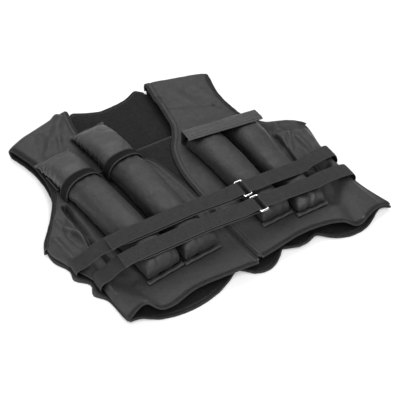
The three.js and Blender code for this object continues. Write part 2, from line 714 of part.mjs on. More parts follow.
// The opened flap lies flat on the panel behind the two open mouths, under the bags' ends.
{
  const [outerPocket, innerPocket] = [pockets[0], pockets[1]];
  const near = upToY(Math.max(outerPocket.mouthUp, innerPocket.mouthUp)) + flapSkirt + pocketSpacing;
  const outerX = outerPocket.mouth.x - pocketWidth / 2 - pocketSpacing;
  const innerX = innerPocket.mouth.x + pocketWidth / 2;
  const thin = pocketWall + bagClearance - 2 * seamGap;
  const grid = (z) => [
    [new THREE.Vector3(outerX, near, z), new THREE.Vector3(innerX, near, z)],
    [new THREE.Vector3(outerX - flapSkirt, near + flapReach, z), new THREE.Vector3(innerX, near + 2 * flapReach, z)],
  ];
  addPiece("flap_open", skin(grid(pocketBase + thin), grid(pocketBase)), cloth);
}

// The closed flap stands up behind the two covered mouths and folds forward over them.
{
  const [innerPocket, outerPocket] = [pockets[2], pockets[3]];
  const start = innerPocket.mouth.clone();
  const across = outerPocket.mouth.clone().sub(start);
  const pitch = across.length();
  across.normalize();
  const back = new THREE.Vector2(-across.y, across.x);
  const clear = (pocketWidth / 2) * Math.abs(across.y) + flapSkirt + flapThickness;
  const width = pitch + pocketWidth;
  const lift = seamGap + flapThickness / 2;
  const mouthTop = pocketBase + innerPocket.height * (pocketProfile[0].height + flapSlack) + lift;
  const top = pocketBase + innerPocket.height + lift;
  const low = pocketBase;
  const profile = [
    { away: clear, z: low },
    { away: clear, z: mix(low, mouthTop, 0.5) },
    { away: clear, z: mouthTop - flapCorner },
    { away: clear - flapCorner * cornerCut, z: mouthTop - flapCorner * cornerCut },
    { away: clear - flapCorner, z: mouthTop + flapThickness },
    { away: clear - flapReach / 2, z: mix(mouthTop, top, flapCrown) },
    { away: clear - flapReach, z: top + flapThickness },
  ];
  const path = profile.map(({ away, z }) => {
    const place = start.clone().addScaledVector(across, pitch / 2).addScaledVector(back, away);
    return new THREE.Vector3(place.x, place.y, z);
  });
  addPiece("flap_closed", ribbon(path, new THREE.Vector3(across.x, across.y, 0), width, flapThickness), cloth);
}

// The straps. Each right-hand part comes round the wearer's right side, runs over the pockets, passes its
// ring and doubles back over itself; each left-hand part comes round the left side and is sewn round the
// ring's other bar.
const layer = webbingThickness + webbingClearance;
const barOffset = (ringDepth - ringWire) / 2;
const bendRadius = ringWire / 2 + webbingClearance + webbingThickness / 2;
const bendSteps = 6;
const pathStep = 11;

// Where a pocket lies under a strap that crosses it: its middle and its half width there.
function pocketUnder(pocket, y) {
  const along = (pocket.mouth.y - y) / pocket.length;
  return { x: pocket.mouth.x + pocket.run.x * along * pocket.length, half: pocketWidthAt(pocket, along) / 2 };
}

// Height of a strap's middle over a pocket, resting on its highest part under the webbing.
function levelOn(pocket, y) {
  const along = (pocket.mouth.y - y - webbingWidth / 2) / pocket.length;
  const share = readTable(pocketProfile, "along", "height", along);
  const pressed = mix(1, pocket.press, THREE.MathUtils.smoothstep(along, ...pressedRun));
  return pocketBase + pocket.height * share * pressed + seamGap + webbingThickness / 2;
}

// Points of a strap from the shoulder of the outer pocket down over the side to just above the surface.
function sideRoute(panel, pocket, level, y, sideY, slack) {
  const outwards = panel.outwards;
  const under = pocketUnder(pocket, y);
  const edgeX = panel.edges(panel.rowAt("outerY", sideY)).outerX;
  const over = (x) => {
    const heights = [-1, 0, 1].map((s) => panel.heightAt(x, sideY + (s * webbingWidth) / 2));
    return Math.max(...heights) + strapLift + webbingThickness / 2;
  };
  const browX = edgeX - outwards * browInset;
  const outX = edgeX + outwards * (sideBulge + webbingThickness);
  const shoulder = new THREE.Vector3(under.x + outwards * under.half * flatShare, y, level);
  const brow = new THREE.Vector3(browX, mix(y, sideY, straightness), over(browX) + slack / 2);
  const hang = (share) => {
    const rise = slack * Math.sin(share * Math.PI);
    return shoulder.clone().lerp(brow, share).addScaledVector(upward, rise);
  };
  return [
    shoulder,
    ...slackPlaces.map(hang),
    brow,
    new THREE.Vector3(edgeX - outwards * strapLift, sideY, over(mix(edgeX, browX, 0.5))),
    new THREE.Vector3(outX, sideY, seamLevel + frontThickness),
    new THREE.Vector3(outX, sideY, backThickness / 2),
    new THREE.Vector3(outX, sideY, strapEndHeight),
  ];
}

// A half turn of webbing round a ring's bar, from below it to above it.
function bendRound(x, y, z, outwards) {
  const bend = [];
  for (let i = 0; i <= bendSteps; i += 1) {
    const turn = (Math.PI * i) / bendSteps;
    bend.push(new THREE.Vector3(x + outwards * bendRadius * Math.sin(turn), y, z - bendRadius * Math.cos(turn)));
  }
  return bend;
}

function smoothPath(points) {
  const curve = new THREE.CatmullRomCurve3(points, false, "centripetal");
  return curve.getSpacedPoints(Math.round(curve.getLength() / pathStep));
}

// The rectangle of a ring's wire, turned with its strap: corner points in order round the loop.
function ringOutline(centre, across) {
  const halfLong = webbingWidth / 2 + ringEnds + ringWire / 2;
  const outline = [];
  for (const [sideX, sideY] of [[1, 1], [-1, 1], [-1, -1], [1, -1]]) {
    const start = Math.atan2(sideY, sideX) - Math.PI / 4;
    for (let i = 0; i <= cornerSteps; i += 1) {
      const turn = start + (Math.PI / 2) * (i / cornerSteps);
      const x = sideX * (barOffset - ringCorner) + ringCorner * Math.cos(turn);
      const y = sideY * (halfLong - ringCorner) + ringCorner * Math.sin(turn);
      const place = new THREE.Vector3(x * across.y + y * across.x, y * across.y - x * across.x, 0);
      outline.push(place.add(centre));
    }
  }
  return outline;
}

for (const strap of strapRows) {
  const ringX = strap.ringAt * halfChest;
  const ringY = upToY(strap.ringUp);
  const leftLevel = levelOn(pockets[2], ringY);
  const rightLevel = levelOn(pockets[0], ringY);
  const outerLeftLevel = levelOn(pockets[3], ringY);
  const ringZ = leftLevel + bendRadius;
  const freeX = strap.freeAt * halfChest;
  const freeY = upToY(strap.freeUp);
  const across = new THREE.Vector3(freeY - ringY, ringX - freeX, 0).normalize();
  const yOn = (x) => mix(ringY, freeY, (x - ringX) / (freeX - ringX));
  addPiece("ring_" + strap.name, wireLoop(ringOutline(new THREE.Vector3(ringX, ringY, ringZ), across)), steel);

  // The part from the wearer's right, drawn through the ring and doubled back to its free end.
  const rightBar = ringX - barOffset;
  const inner = pocketUnder(pockets[1], ringY);
  const underPath = smoothPath([
    ...sideRoute(panels.right, pockets[0], rightLevel, freeY, upToY(strap.rightUp), strapSlack.right).reverse(),
    new THREE.Vector3(inner.x - inner.half * flatShare, yOn(inner.x), rightLevel),
    new THREE.Vector3(inner.x + inner.half * flatShare, yOn(inner.x + inner.half), rightLevel),
    new THREE.Vector3(rightBar - bendRadius, yOn(rightBar), leftLevel),
  ]);
  const bend = bendRound(rightBar, yOn(rightBar), ringZ, 1);
  const outer = pocketUnder(pockets[0], ringY);
  const shoulderX = outer.x - outer.half * flatShare;
  const overPath = underPath
    .slice(1, -3)
    .filter((point) => point.x > shoulderX)
    .reverse()
    .map((point) => point.clone().addScaledVector(upward, layer));
  for (const share of [0.5, 1]) {
    const x = mix(shoulderX, freeX, share);
    overPath.push(new THREE.Vector3(x, yOn(x), rightLevel + layer - freeEndDroop * share ** 2));
  }
  addPiece(
    "strap_" + strap.name + "_right",
    ribbon([...underPath, ...bend.slice(1), ...overPath], across, webbingWidth, webbingThickness),
    webbing,
  );

  // The part from the wearer's left, sewn back under itself round the other bar.
  const leftBar = ringX + barOffset;
  const tailX = leftBar + sewnEndLength;
  const sideY = upToY(strap.leftUp);
  const tail = [new THREE.Vector3(tailX, ringY, leftLevel), new THREE.Vector3(leftBar + ringWire, ringY, leftLevel)];
  const mainPath = smoothPath([
    new THREE.Vector3(leftBar + bendRadius * 4, ringY, leftLevel + layer),
    new THREE.Vector3(tailX, ringY, leftLevel + layer),
    ...sideRoute(panels.left, pockets[3], outerLeftLevel, mix(sideY, ringY, straightness), sideY, strapSlack.left),
  ]);
  addPiece(
    "strap_" + strap.name + "_left",
    ribbon([...tail, ...bendRound(leftBar, ringY, ringZ, -1), ...mainPath], across, webbingWidth, webbingThickness),
    webbing,
  );
}

// A closed loop of round wire along level corner points.
function wireLoop(points) {
  const sides = wireSides;
  const radius = ringWire / 2;
  const count = points.length;
  const corners = [];
  const triangles = [];
  points.forEach((point, i) => {
    const before = points[(i + count - 1) % count];
    const after = points[(i + 1) % count];
    const run = new THREE.Vector3().subVectors(after, before).normalize();
    const out = new THREE.Vector3().crossVectors(run, upward);
    for (let k = 0; k < sides; k += 1) {
      const turn = (2 * Math.PI * k) / sides;
      corners.push(
        point
          .clone()
          .addScaledVector(out, radius * Math.cos(turn))
          .addScaledVector(upward, radius * Math.sin(turn)),
      );
      const a = i * sides + k;
      const b = i * sides + ((k + 1) % sides);
      const c = ((i + 1) % count) * sides + k;
      const d = ((i + 1) % count) * sides + ((k + 1) % sides);
      triangles.push([a, b, d], [a, d, c]);
    }
  });
  return closedGeometry(corners, triangles);
}

// The origin is the middle of the vest's extent, on the surface that it lies on.
const extent = new THREE.Box3().setFromObject(laid, true);
laid.position.set(-(extent.min.x + extent.max.x) / 2, -(extent.min.y + extent.max.y) / 2, -extent.min.z);

export default vest;
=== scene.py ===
# A weighted vest, laid on its back with the front up. Two front panels fold over from a padded back panel at
# the shoulders. They carry four long pockets with sandbags in them, and two webbing straps drawn through wire
# rings. Sizes are in millimetres from the middle of the hem line, x to the wearer's left, y to the neck and z
# up, except those of the stage, the threads, the stitches and the swelling of the cloth, which are in metres.
import math

import bpy
import bmesh
import numpy as np
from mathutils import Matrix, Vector, noise


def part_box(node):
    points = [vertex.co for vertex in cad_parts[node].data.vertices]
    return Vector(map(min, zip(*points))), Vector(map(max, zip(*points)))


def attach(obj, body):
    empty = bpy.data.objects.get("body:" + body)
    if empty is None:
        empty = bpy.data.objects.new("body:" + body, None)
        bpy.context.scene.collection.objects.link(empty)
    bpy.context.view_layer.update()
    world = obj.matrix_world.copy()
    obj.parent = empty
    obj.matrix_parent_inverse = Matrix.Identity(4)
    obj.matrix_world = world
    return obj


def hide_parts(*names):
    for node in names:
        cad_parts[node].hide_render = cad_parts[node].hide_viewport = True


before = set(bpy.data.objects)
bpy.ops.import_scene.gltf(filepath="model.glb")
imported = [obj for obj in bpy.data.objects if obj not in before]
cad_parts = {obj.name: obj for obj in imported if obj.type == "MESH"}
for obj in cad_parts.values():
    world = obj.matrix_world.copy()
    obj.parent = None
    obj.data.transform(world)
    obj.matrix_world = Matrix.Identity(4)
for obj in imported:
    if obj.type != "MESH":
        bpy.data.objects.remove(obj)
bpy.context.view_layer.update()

scene = bpy.context.scene


# The floor, the light and the camera. The floor is a plain white board. Two wide soft boxes stand above the
# neck and the hem in a pale room, and the camera looks down on the vest from its hem.
floor_size = 8.0
floor_grey = 0.92
room_light = 0.27
box_size = 1.5
boxes = {
    "soft_box_back": {"power": 27.0, "place": (0.25, 1.0, 1.6)},
    "soft_box_front": {"power": 41.0, "place": (-0.45, -1.25, 1.25)},
}
view_azimuth = math.radians(-31)
view_elevation = math.radians(46)
view_distance = 1.864
view_lens = 99.0
sensor_width = 36.0
view_middle = np.array([0, 165, 30])


def look_along(thing, place, target):
    thing.location = place
    thing.rotation_euler = (Vector(target) - Vector(place)).to_track_quat("-Z", "Y").to_euler()
    scene.collection.objects.link(thing)


def mixed_shades(material, colour, scale, spread):
    """Paints a material in shades of one colour, from a soft noise of that many patches a metre."""
    nodes, links = material.node_tree.nodes, material.node_tree.links
    place = nodes.new("ShaderNodeTexCoord")
    patches = nodes.new("ShaderNodeTexNoise")
    patches.inputs["Scale"].default_value = scale
    patches.inputs["Detail"].default_value = 5.0
    patches.inputs["Roughness"].default_value = 0.62
    shades = nodes.new("ShaderNodeValToRGB")
    shades.color_ramp.elements[0].position = 0.3
    shades.color_ramp.elements[1].position = 0.72
    for element, share in zip(shades.color_ramp.elements, (1 - spread, 1 + spread)):
        element.color = [c * share for c in colour] + [1]
    links.new(place.outputs["Object"], patches.inputs["Vector"])
    links.new(patches.outputs["Fac"], shades.inputs["Fac"])
    links.new(shades.outputs["Color"], nodes["Principled BSDF"].inputs["Base Color"])
    return shades


floor_finish = bpy.data.materials.new("white_board")
floor_finish.use_nodes = True
floor_finish.node_tree.nodes["Principled BSDF"].inputs["Roughness"].default_value = 0.9
mixed_shades(floor_finish, (floor_grey,) * 3, 3.0, 0.01)
floor_mesh = bpy.data.meshes.new("floor")
half = floor_size / 2
floor_corners = [(-half, -half, 0), (half, -half, 0), (half, half, 0), (-half, half, 0)]
floor_mesh.from_pydata(floor_corners, [], [(0, 1, 2, 3)])
floor_mesh.materials.append(floor_finish)
floor = bpy.data.objects.new("floor", floor_mesh)
scene.collection.objects.link(floor)

room = bpy.data.worlds.new("room")
room.use_nodes = True
room.node_tree.nodes["Background"].inputs["Color"].default_value = (1, 1, 1, 1)
room.node_tree.nodes["Background"].inputs["Strength"].default_value = room_light
scene.world = room
scene.view_settings.view_transform = "Standard"

for name, box in boxes.items():
    box_light = bpy.data.lights.new(name, "AREA")
    box_light.energy = box["power"]
    box_light.size = box_size
    look_along(bpy.data.objects.new(name, box_light), box["place"], (0, 0, 0))

# The pieces are placed by their sizes from the hem line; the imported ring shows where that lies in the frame.
half_chest = 265.0
body_length = 485.0
ring_rows = {
    "upper": {"x": 0.211 * half_chest, "y": 0.246 * body_length},
    "lower": {"x": 0.228 * half_chest, "y": 0.159 * body_length},
}
ring_low, ring_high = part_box("ring_upper")
shift = np.array([
    (ring_low.x + ring_high.x) * 500 - ring_rows["upper"]["x"],
    (ring_low.y + ring_high.y) * 500 - ring_rows["upper"]["y"],
    0.0,
])
view_target = Vector(((view_middle + shift) / 1000).tolist())
back_of_view = Vector((
    math.sin(view_azimuth) * math.cos(view_elevation),
    -math.cos(view_azimuth) * math.cos(view_elevation),
    math.sin(view_elevation),
))
camera = bpy.data.cameras.new("camera")
camera.lens = view_lens
camera.sensor_width = sensor_width
camera.clip_end = 20.0
camera_object = bpy.data.objects.new("camera", camera)
look_along(camera_object, view_target + back_of_view * view_distance, view_target)
scene.camera = camera_object


# The front panels: nylon cloth, cut in two halves with a round neckline, flat where the pockets are sewn on,
# loose at the sides. Each runs from the hem up to the shoulder and turns down there to the back.
back_thickness = 6.0
cloth_thickness = 3.0
field_thickness = 3.5
torso_gap = 18.0
seam_gap = 0.3
seam_level = back_thickness + seam_gap
field_top = seam_level + torso_gap + field_thickness
piping = 6.0
tape_bite = 4.5
cloth_colour = (0.026, 0.026, 0.0268)

# Sections of each panel from the hem up to the shoulder fold: the front edge and its height, then the side or
# armhole edge and its height, in shares of the half chest and the body length; where the flat field ends;
# the cloth's lift past it, near the side and at the side; and 1 where the edge is bound.
column_names = ["inner", "inner_up", "outer", "outer_up", "seam", "dip", "brow", "rise", "bound"]
right_sections = np.array([
    [0.06, -0.004, -0.834, 0.031, 0.79, 0.8, 0.5, 0, 0],
    [0.038, 0.113, -0.846, 0.124, 0.81, 0.6, 0.45, 0, 0],
    [0.025, 0.237, -0.862, 0.227, 0.83, 0.45, 0.4, 0, 0],
    [0.015, 0.371, -0.951, 0.34, 0.77, 0.35, 0.4, 0, 0],
    [-0.026, 0.526, -1.012, 0.43, 0.75, 0.35, 0.45, 0.3, 0.4],
    [-0.058, 0.598, -0.935, 0.507, 0.77, 0.5, 0.5, 0.45, 1],
    [-0.109, 0.631, -0.857, 0.565, 0.81, 0.75, 0.65, 0.6, 1],
    [-0.234, 0.658, -0.793, 0.629, 0.8, 0.92, 0.85, 0.75, 1],
    [-0.325, 0.711, -0.766, 0.701, 0.75, 0.95, 0.87, 0.75, 1],
    [-0.362, 0.804, -0.766, 0.763, 0.75, 0.95, 0.87, 0.75, 1],
    [-0.374, 0.897, -0.781, 0.835, 0.75, 0.95, 0.87, 0.75, 1],
    [-0.343, 1, -0.834, 0.93, 0.75, 0.93, 0.83, 0.7, 1],
])
left_sections = np.array([
    [0.06, 0.006, 1.072, 0.01, 0.64, 0.6, 0.5, 0, 0],
    [0.038, 0.113, 1.011, 0.138, 0.69, 0.7, 0.8, 0, 0],
    [0.025, 0.237, 0.996, 0.247, 0.72, 0.85, 1.15, 0, 0],
    [0.019, 0.371, 0.996, 0.365, 0.74, 1, 1.3, 0, 0],
    [0.026, 0.505, 1.008, 0.485, 0.75, 1.15, 1.3, 0.8, 0.4],
    [0.075, 0.612, 0.917, 0.535, 0.83, 1.1, 1.15, 1, 1],
    [0.151, 0.68, 0.79, 0.568, 0.86, 1, 1, 0.9, 1],
    [0.196, 0.732, 0.694, 0.644, 0.86, 0.98, 0.93, 0.85, 1],
    [0.211, 0.784, 0.668, 0.711, 0.8, 0.97, 0.92, 0.85, 1],
    [0.226, 0.845, 0.66, 0.777, 0.75, 0.97, 0.92, 0.85, 1],
    [0.234, 0.907, 0.672, 0.843, 0.75, 0.97, 0.92, 0.85, 1],
    [0.253, 0.984, 0.706, 0.924, 0.75, 0.97, 0.92, 0.85, 1],
])
fold_row = len(right_sections) - 1
armpit_row = 4

# Creases in the cloth: from one point to another, how wide and high, and what share is left at the far end.
right_creases = [
    (-193, 5, -215, 73, 26, 24, 0.1),
    (-217, 92, -219, 66, 9, 6, 0.6),
    (-192, 104, -182, 72, 17, -9, 0.7),
    (-204, 152, -204, 116, 17, -16, 1.0),
    (-226, 252, -220, 184, 10, 3, 0.5),
    (-221, 232, -199, 190, 7, 4.5, 0.8),
    (-219, 214, -203, 165, 8, -4, 0.8),
    (-246, 218, -238, 165, 9, 4, 0.4),
    (-202, 274, -199, 118, 7.5, -12, 1.0),
    (-112, 478, -140, 426, 12, 5, 0.6),
    (-124, 463, -177, 402, 10, 3, 0.7),
    (-137, 426, -149, 395, 7, 3, 0.5),
    (-164, 451, -184, 388, 15, -4, 0.4),
]
left_creases = [
    (203, -10, 212, 63, 21, -10, 0.0),
    (218, 106, 196, 58, 25, -18, 0.7),
    (196, 150, 232, 126, 15, -15, 0.9),
    (222, 138, 222, 117, 5, 9, 0.8),
    (201, 238, 184, 60, 7, -10, 1.0),
    (224, 228, 206, 190, 6, 3, 0.6),
    (247, 214, 252, 188, 6, -3, 0.6),
    (190, 262, 252, 232, 16, -9, 0.9),
    (215, 257, 233, 184, 12, 4, 0.4),
    (237, 229, 258, 184, 8, 4, 0.6),
    (230, 212, 232, 172, 7, 4, 0.5),
    (210, 224, 192, 188, 8, 3, 0.6),
    (70, 434, 79, 416, 10, -4, 0.5),
    (128, 425, 140, 380, 20, -3, 0.5),
    (70, 400, 148, 365, 4.5, -2, 1.0),
    (148, 365, 158, 350, 4.5, -2, 1.0),
]
right_hem_waves = [(-0.6, 0.15, -0.036)]
left_hem_waves = [(0.42, 0.25, 0.024), (0.79, 0.11, -0.034)]
panels = {
    "right": {"rows": right_sections, "creases": right_creases, "waves": right_hem_waves, "outwards": -1.0},
    "left": {"rows": left_sections, "creases": left_creases, "waves": left_hem_waves, "outwards": 1.0},
}


def curve_through(values, place):
    """Reads a column of a table between its rows, along a smooth curve."""
    last = len(values) - 1
    place = np.asarray(place, float)
    k = np.clip(np.floor(place).astype(int), 0, last - 1)
    t = place - k
    p, q, r, s = (values[np.clip(k + i, 0, last)] for i in (-1, 0, 1, 2))
    return q + 0.5 * t * (r - p + t * (2 * p - 5 * q + 4 * r - s + t * (3 * (q - r) + s - p)))


def read(panel, name, row, straight=False):
    """One column of a panel's sections, read at any place between two of them."""
    values = panel["rows"][:, column_names.index(name)]
    place = np.minimum(row, fold_row)
    return np.interp(place, np.arange(len(values)), values) if straight else curve_through(values, place)


def panel_edges(panel, row):
    """Front edge and side edge of a panel's cloth, which ends inside its bindings."""
    inset = read(panel, "bound", row, True) * tape_bite
    return (
        read(panel, "inner", row) * half_chest + panel["outwards"] * (piping / 2 + 0.5),
        read(panel, "inner_up", row) * body_length,
        read(panel, "outer", row) * half_chest - panel["outwards"] * inset,
        read(panel, "outer_up", row) * body_length,
    )


def panel_plan(panel, across, row):
    """Places on a panel: across runs from its front edge to its side, row from the hem to the shoulder."""
    inner_x, inner_y, outer_x, outer_y = panel_edges(panel, row)
    x = inner_x + (outer_x - inner_x) * across
    y = inner_y + (outer_y - inner_y) * across
    fade = np.maximum(0, 1 - row) ** 2
    y = y + fade * tape_bite
    for at, width, reach in panel["waves"]:
        y = y + fade * reach * body_length * np.exp(-(((x / half_chest - at) / width) ** 2))
    return x, y


def soften(values, times, axis):
    """Rounds a grid of heights along one of its directions."""
    for _ in range(times):
        ends = [np.take(values, [i], axis) for i in (0, -1)]
        padded = np.concatenate([ends[0], values, ends[1]], axis)
        n = values.shape[axis]
        low, high = (np.take(padded, np.arange(i, i + n), axis) for i in (0, 2))
        values = 0.25 * low + 0.5 * values + 0.25 * high
    return values


def crease_lift(creases, x, y):
    """How far a panel's creases raise or sink its cloth at each point."""
    lift = np.zeros_like(x)
    for x0, y0, x1, y1, width, height, tail in creases:
        run = np.array([x1 - x0, y1 - y0], float)
        share = np.clip(((x - x0) * run[0] + (y - y0) * run[1]) / (run @ run), 0, 1)
        away = np.hypot(x - x0 - share * run[0], y - y0 - share * run[1]) / width
        crest = height * (1 + (tail - 1) * share)
        lift += np.where(away < 1, crest * np.cos(np.minimum(away, 1) * np.pi / 2) ** 2, 0)
    return lift


def rumple(points, size, seed):
    """A soft noise from -1 to 1 at each point, with bumps of that size."""
    flat = np.asarray(points, float).reshape(-1, 3) / size
    values = [noise.noise(Vector((p[0] + seed, p[1] - seed, p[2] + 0.37 * seed))) for p in flat]
    return np.array(values).reshape(np.shape(points)[:-1])


def grid_normals(grid):
    """Directions straight out of a grid of cloth, away from the floor over its first half."""
    normal = np.cross(np.gradient(grid, axis=1), np.gradient(grid, axis=0))
    normal /= np.linalg.norm(normal, axis=2, keepdims=True) + 1e-9
    first_half = normal[: max(2, len(normal) // 2)]
    return normal if first_half[..., 2].mean() > 0 else -normal


def lay_out(points):
    return ((np.asarray(points, float) + shift) / 1000).tolist()


def make_piece(name, points, faces, material, uv=None):
    """A smooth mesh in the frame's metres. uv holds a place along the cloth, in metres, for each point."""
    mesh = bpy.data.meshes.new(name)
    mesh.from_pydata(lay_out(points), [], faces)
    if uv is not None:
        layer = mesh.uv_layers.new(name="cloth")
        corners = np.empty(len(mesh.loops), np.int32)
        mesh.loops.foreach_get("vertex_index", corners)
        layer.data.foreach_set("uv", np.asarray(uv, np.float32)[corners].ravel())
    mesh.materials.append(material)
    mesh.polygons.foreach_set("use_smooth", np.ones(len(mesh.polygons), bool))
    form = bmesh.new()
    form.from_mesh(mesh)
    bmesh.ops.recalc_face_normals(form, faces=form.faces)
    form.to_mesh(mesh)
    form.free()
    piece = bpy.data.objects.new(name, mesh)
    scene.collection.objects.link(piece)
    return piece


def cloth_uv(grid):
    """Places along a grid of cloth, in metres, from the lengths of its threads."""
    steps_u = np.linalg.norm(np.diff(grid, axis=1), axis=2)
    steps_v = np.linalg.norm(np.diff(grid, axis=0), axis=2)
    u = np.concatenate([np.zeros((len(grid), 1)), np.cumsum(steps_u, axis=1)], axis=1)
    v = np.concatenate([np.zeros((1, grid.shape[1])), np.cumsum(steps_v, axis=0)], axis=0)
    return np.stack([u, v], axis=2) / 1000


def closed_skin(name, outer, inner, material):
    """A closed piece between two grids of points, joined by a strip of faces all round their edge."""
    rows, columns = outer.shape[:2]
    index = np.arange(rows * columns).reshape(rows, columns)
    quads = np.stack([index[:-1, :-1], index[:-1, 1:], index[1:, 1:], index[1:, :-1]], axis=2).reshape(-1, 4)
    offset = rows * columns
    loop = np.concatenate([index[0, :-1], index[:-1, -1], index[-1, :0:-1], index[:0:-1, 0]])
    after = np.roll(loop, -1)
    rim_faces = np.stack([loop, after, after + offset, loop + offset], axis=1)
    faces = quads.tolist() + (quads[:, ::-1] + offset).tolist() + rim_faces.tolist()
    uv = cloth_uv(outer).reshape(-1, 2)
    points = np.concatenate([outer.reshape(-1, 3), inner.reshape(-1, 3)])
    return make_piece(name, points, faces, material, np.concatenate([uv, uv]))


def cloth_skin(name, outer, thickness, material):
    """A sheet of cloth: its outer face is the grid, and its inner face lies a thickness below."""
    return closed_skin(name, outer, outer - grid_normals(outer) * thickness, material)


def woven(
    name, colour, roughness, thread, relief, mottle=0.22, crinkle=0.4, coordinates="UV",
    sheen=0.05, gloss=0.34,
):
    """A cloth of crossed threads that wide in metres, with crinkles, uneven gloss, paler worn edges, and
    painted shade that darkens its colour and dulls its gloss in hollows and creases.
    """
    material = bpy.data.materials.new(name)
    material.use_nodes = True
    nodes, links = material.node_tree.nodes, material.node_tree.links
    shader = nodes["Principled BSDF"]
    shader.inputs["Sheen Weight"].default_value = sheen
    shader.inputs["Sheen Roughness"].default_value = 0.4
    shader.inputs["Sheen Tint"].default_value = (0.9, 0.9, 0.92, 1)
    shades = mixed_shades(material, colour, 280.0, mottle)
    worn = nodes.new("ShaderNodeValToRGB")
    worn.color_ramp.elements[0].position = 0.515
    worn.color_ramp.elements[1].position = 0.6
    worn.color_ramp.elements[1].color = (0.5, 0.5, 0.5, 1)
    shape = nodes.new("ShaderNodeNewGeometry")
    paler = nodes.new("ShaderNodeMix")
    paler.data_type = "RGBA"
    paler.inputs["B"].default_value = (0.11, 0.11, 0.112, 1)
    links.new(shape.outputs["Pointiness"], worn.inputs["Fac"])
    links.new(worn.outputs["Color"], paler.inputs["Factor"])
    links.new(shades.outputs["Color"], paler.inputs["A"])
    # Painted shade: an occlusion test darkens the colour towards black and dulls the gloss in hollows, creases
    # and gaps between parts.
    hollow_shading = nodes.new("ShaderNodeAmbientOcclusion")
    hollow_shading.samples = 4
    hollow_shading.inputs["Distance"].default_value = 0.03
    unshaded_share = nodes.new("ShaderNodeMapRange")
    unshaded_share.inputs["From Min"].default_value = 0.25
    unshaded_share.inputs["From Max"].default_value = 0.8
    unshaded_share.inputs["To Min"].default_value = 0.06
    painted_shade = nodes.new("ShaderNodeMix")
    painted_shade.data_type = "RGBA"
    painted_shade.inputs["A"].default_value = (0.001, 0.001, 0.001, 1)
    shaded_gloss = nodes.new("ShaderNodeMath")
    shaded_gloss.operation = "MULTIPLY"
    shaded_gloss.inputs[1].default_value = gloss
    links.new(hollow_shading.outputs["AO"], unshaded_share.inputs["Value"])
    links.new(unshaded_share.outputs["Result"], painted_shade.inputs["Factor"])
    links.new(unshaded_share.outputs["Result"], shaded_gloss.inputs[0])
    links.new(paler.outputs["Result"], painted_shade.inputs["B"])
    links.new(painted_shade.outputs["Result"], shader.inputs["Base Color"])
    links.new(shaded_gloss.outputs["Value"], shader.inputs["Specular IOR Level"])
    place = nodes.new("ShaderNodeTexCoord")
    threads = []
    for direction in ("X", "Y"):
        wave = nodes.new("ShaderNodeTexWave")
        wave.wave_type = "BANDS"
        wave.bands_direction = direction
        wave.inputs["Scale"].default_value = 0.314 / thread
        wave.inputs["Distortion"].default_value = 0.6
        wave.inputs["Detail"].default_value = 1.0
        wave.inputs["Detail Scale"].default_value = 2.0
        links.new(place.outputs[coordinates], wave.inputs["Vector"])
        threads.append(wave)
    cross = nodes.new("ShaderNodeMath")
    cross.operation = "MULTIPLY"
    links.new(threads[0].outputs["Fac"], cross.inputs[0])
    links.new(threads[1].outputs["Fac"], cross.inputs[1])
    crinkles = nodes.new("ShaderNodeTexNoise")
    crinkles.inputs["Scale"].default_value = 75.0
    crinkles.inputs["Detail"].default_value = 6.0
    crinkles.inputs["Roughness"].default_value = 0.6
    links.new(place.outputs["Object"], crinkles.inputs["Vector"])
    uneven = nodes.new("ShaderNodeMapRange")
    uneven.inputs["From Min"].default_value = 0.3
    uneven.inputs["From Max"].default_value = 0.7
    uneven.inputs["To Min"].default_value = roughness - 0.1
    uneven.inputs["To Max"].default_value = min(1.0, roughness + 0.12)
    links.new(crinkles.outputs["Fac"], uneven.inputs["Value"])
    links.new(uneven.outputs["Result"], shader.inputs["Roughness"])
    weave_bump = nodes.new("ShaderNodeBump")
    weave_bump.inputs["Strength"].default_value = 0.7
    weave_bump.inputs["Distance"].default_value = relief
    links.new(cross.outputs["Value"], weave_bump.inputs["Height"])
    crinkle_bump = nodes.new("ShaderNodeBump")
    crinkle_bump.inputs["Strength"].default_value = crinkle
    crinkle_bump.inputs["Distance"].default_value = 0.003
    links.new(crinkles.outputs["Fac"], crinkle_bump.inputs["Height"])
    links.new(weave_bump.outputs["Normal"], crinkle_bump.inputs["Normal"])
    links.new(crinkle_bump.outputs["Normal"], shader.inputs["Normal"])
    return material


nylon = woven("nylon_cloth", cloth_colour, 0.52, 0.0005, 0.00012)

field_columns = 74
edge_columns = 26
edge_share = 0.13
side_columns = 50
rows_per_section = 15
edge_seams = (9.0, 11.5)
edge_roll_at = 5.5
lowest_cloth = 13.5
turn_rows = 14
side_knots = [0, 0.4, 0.8, 1]
yoke_up = 0.74
yoke_run = 40


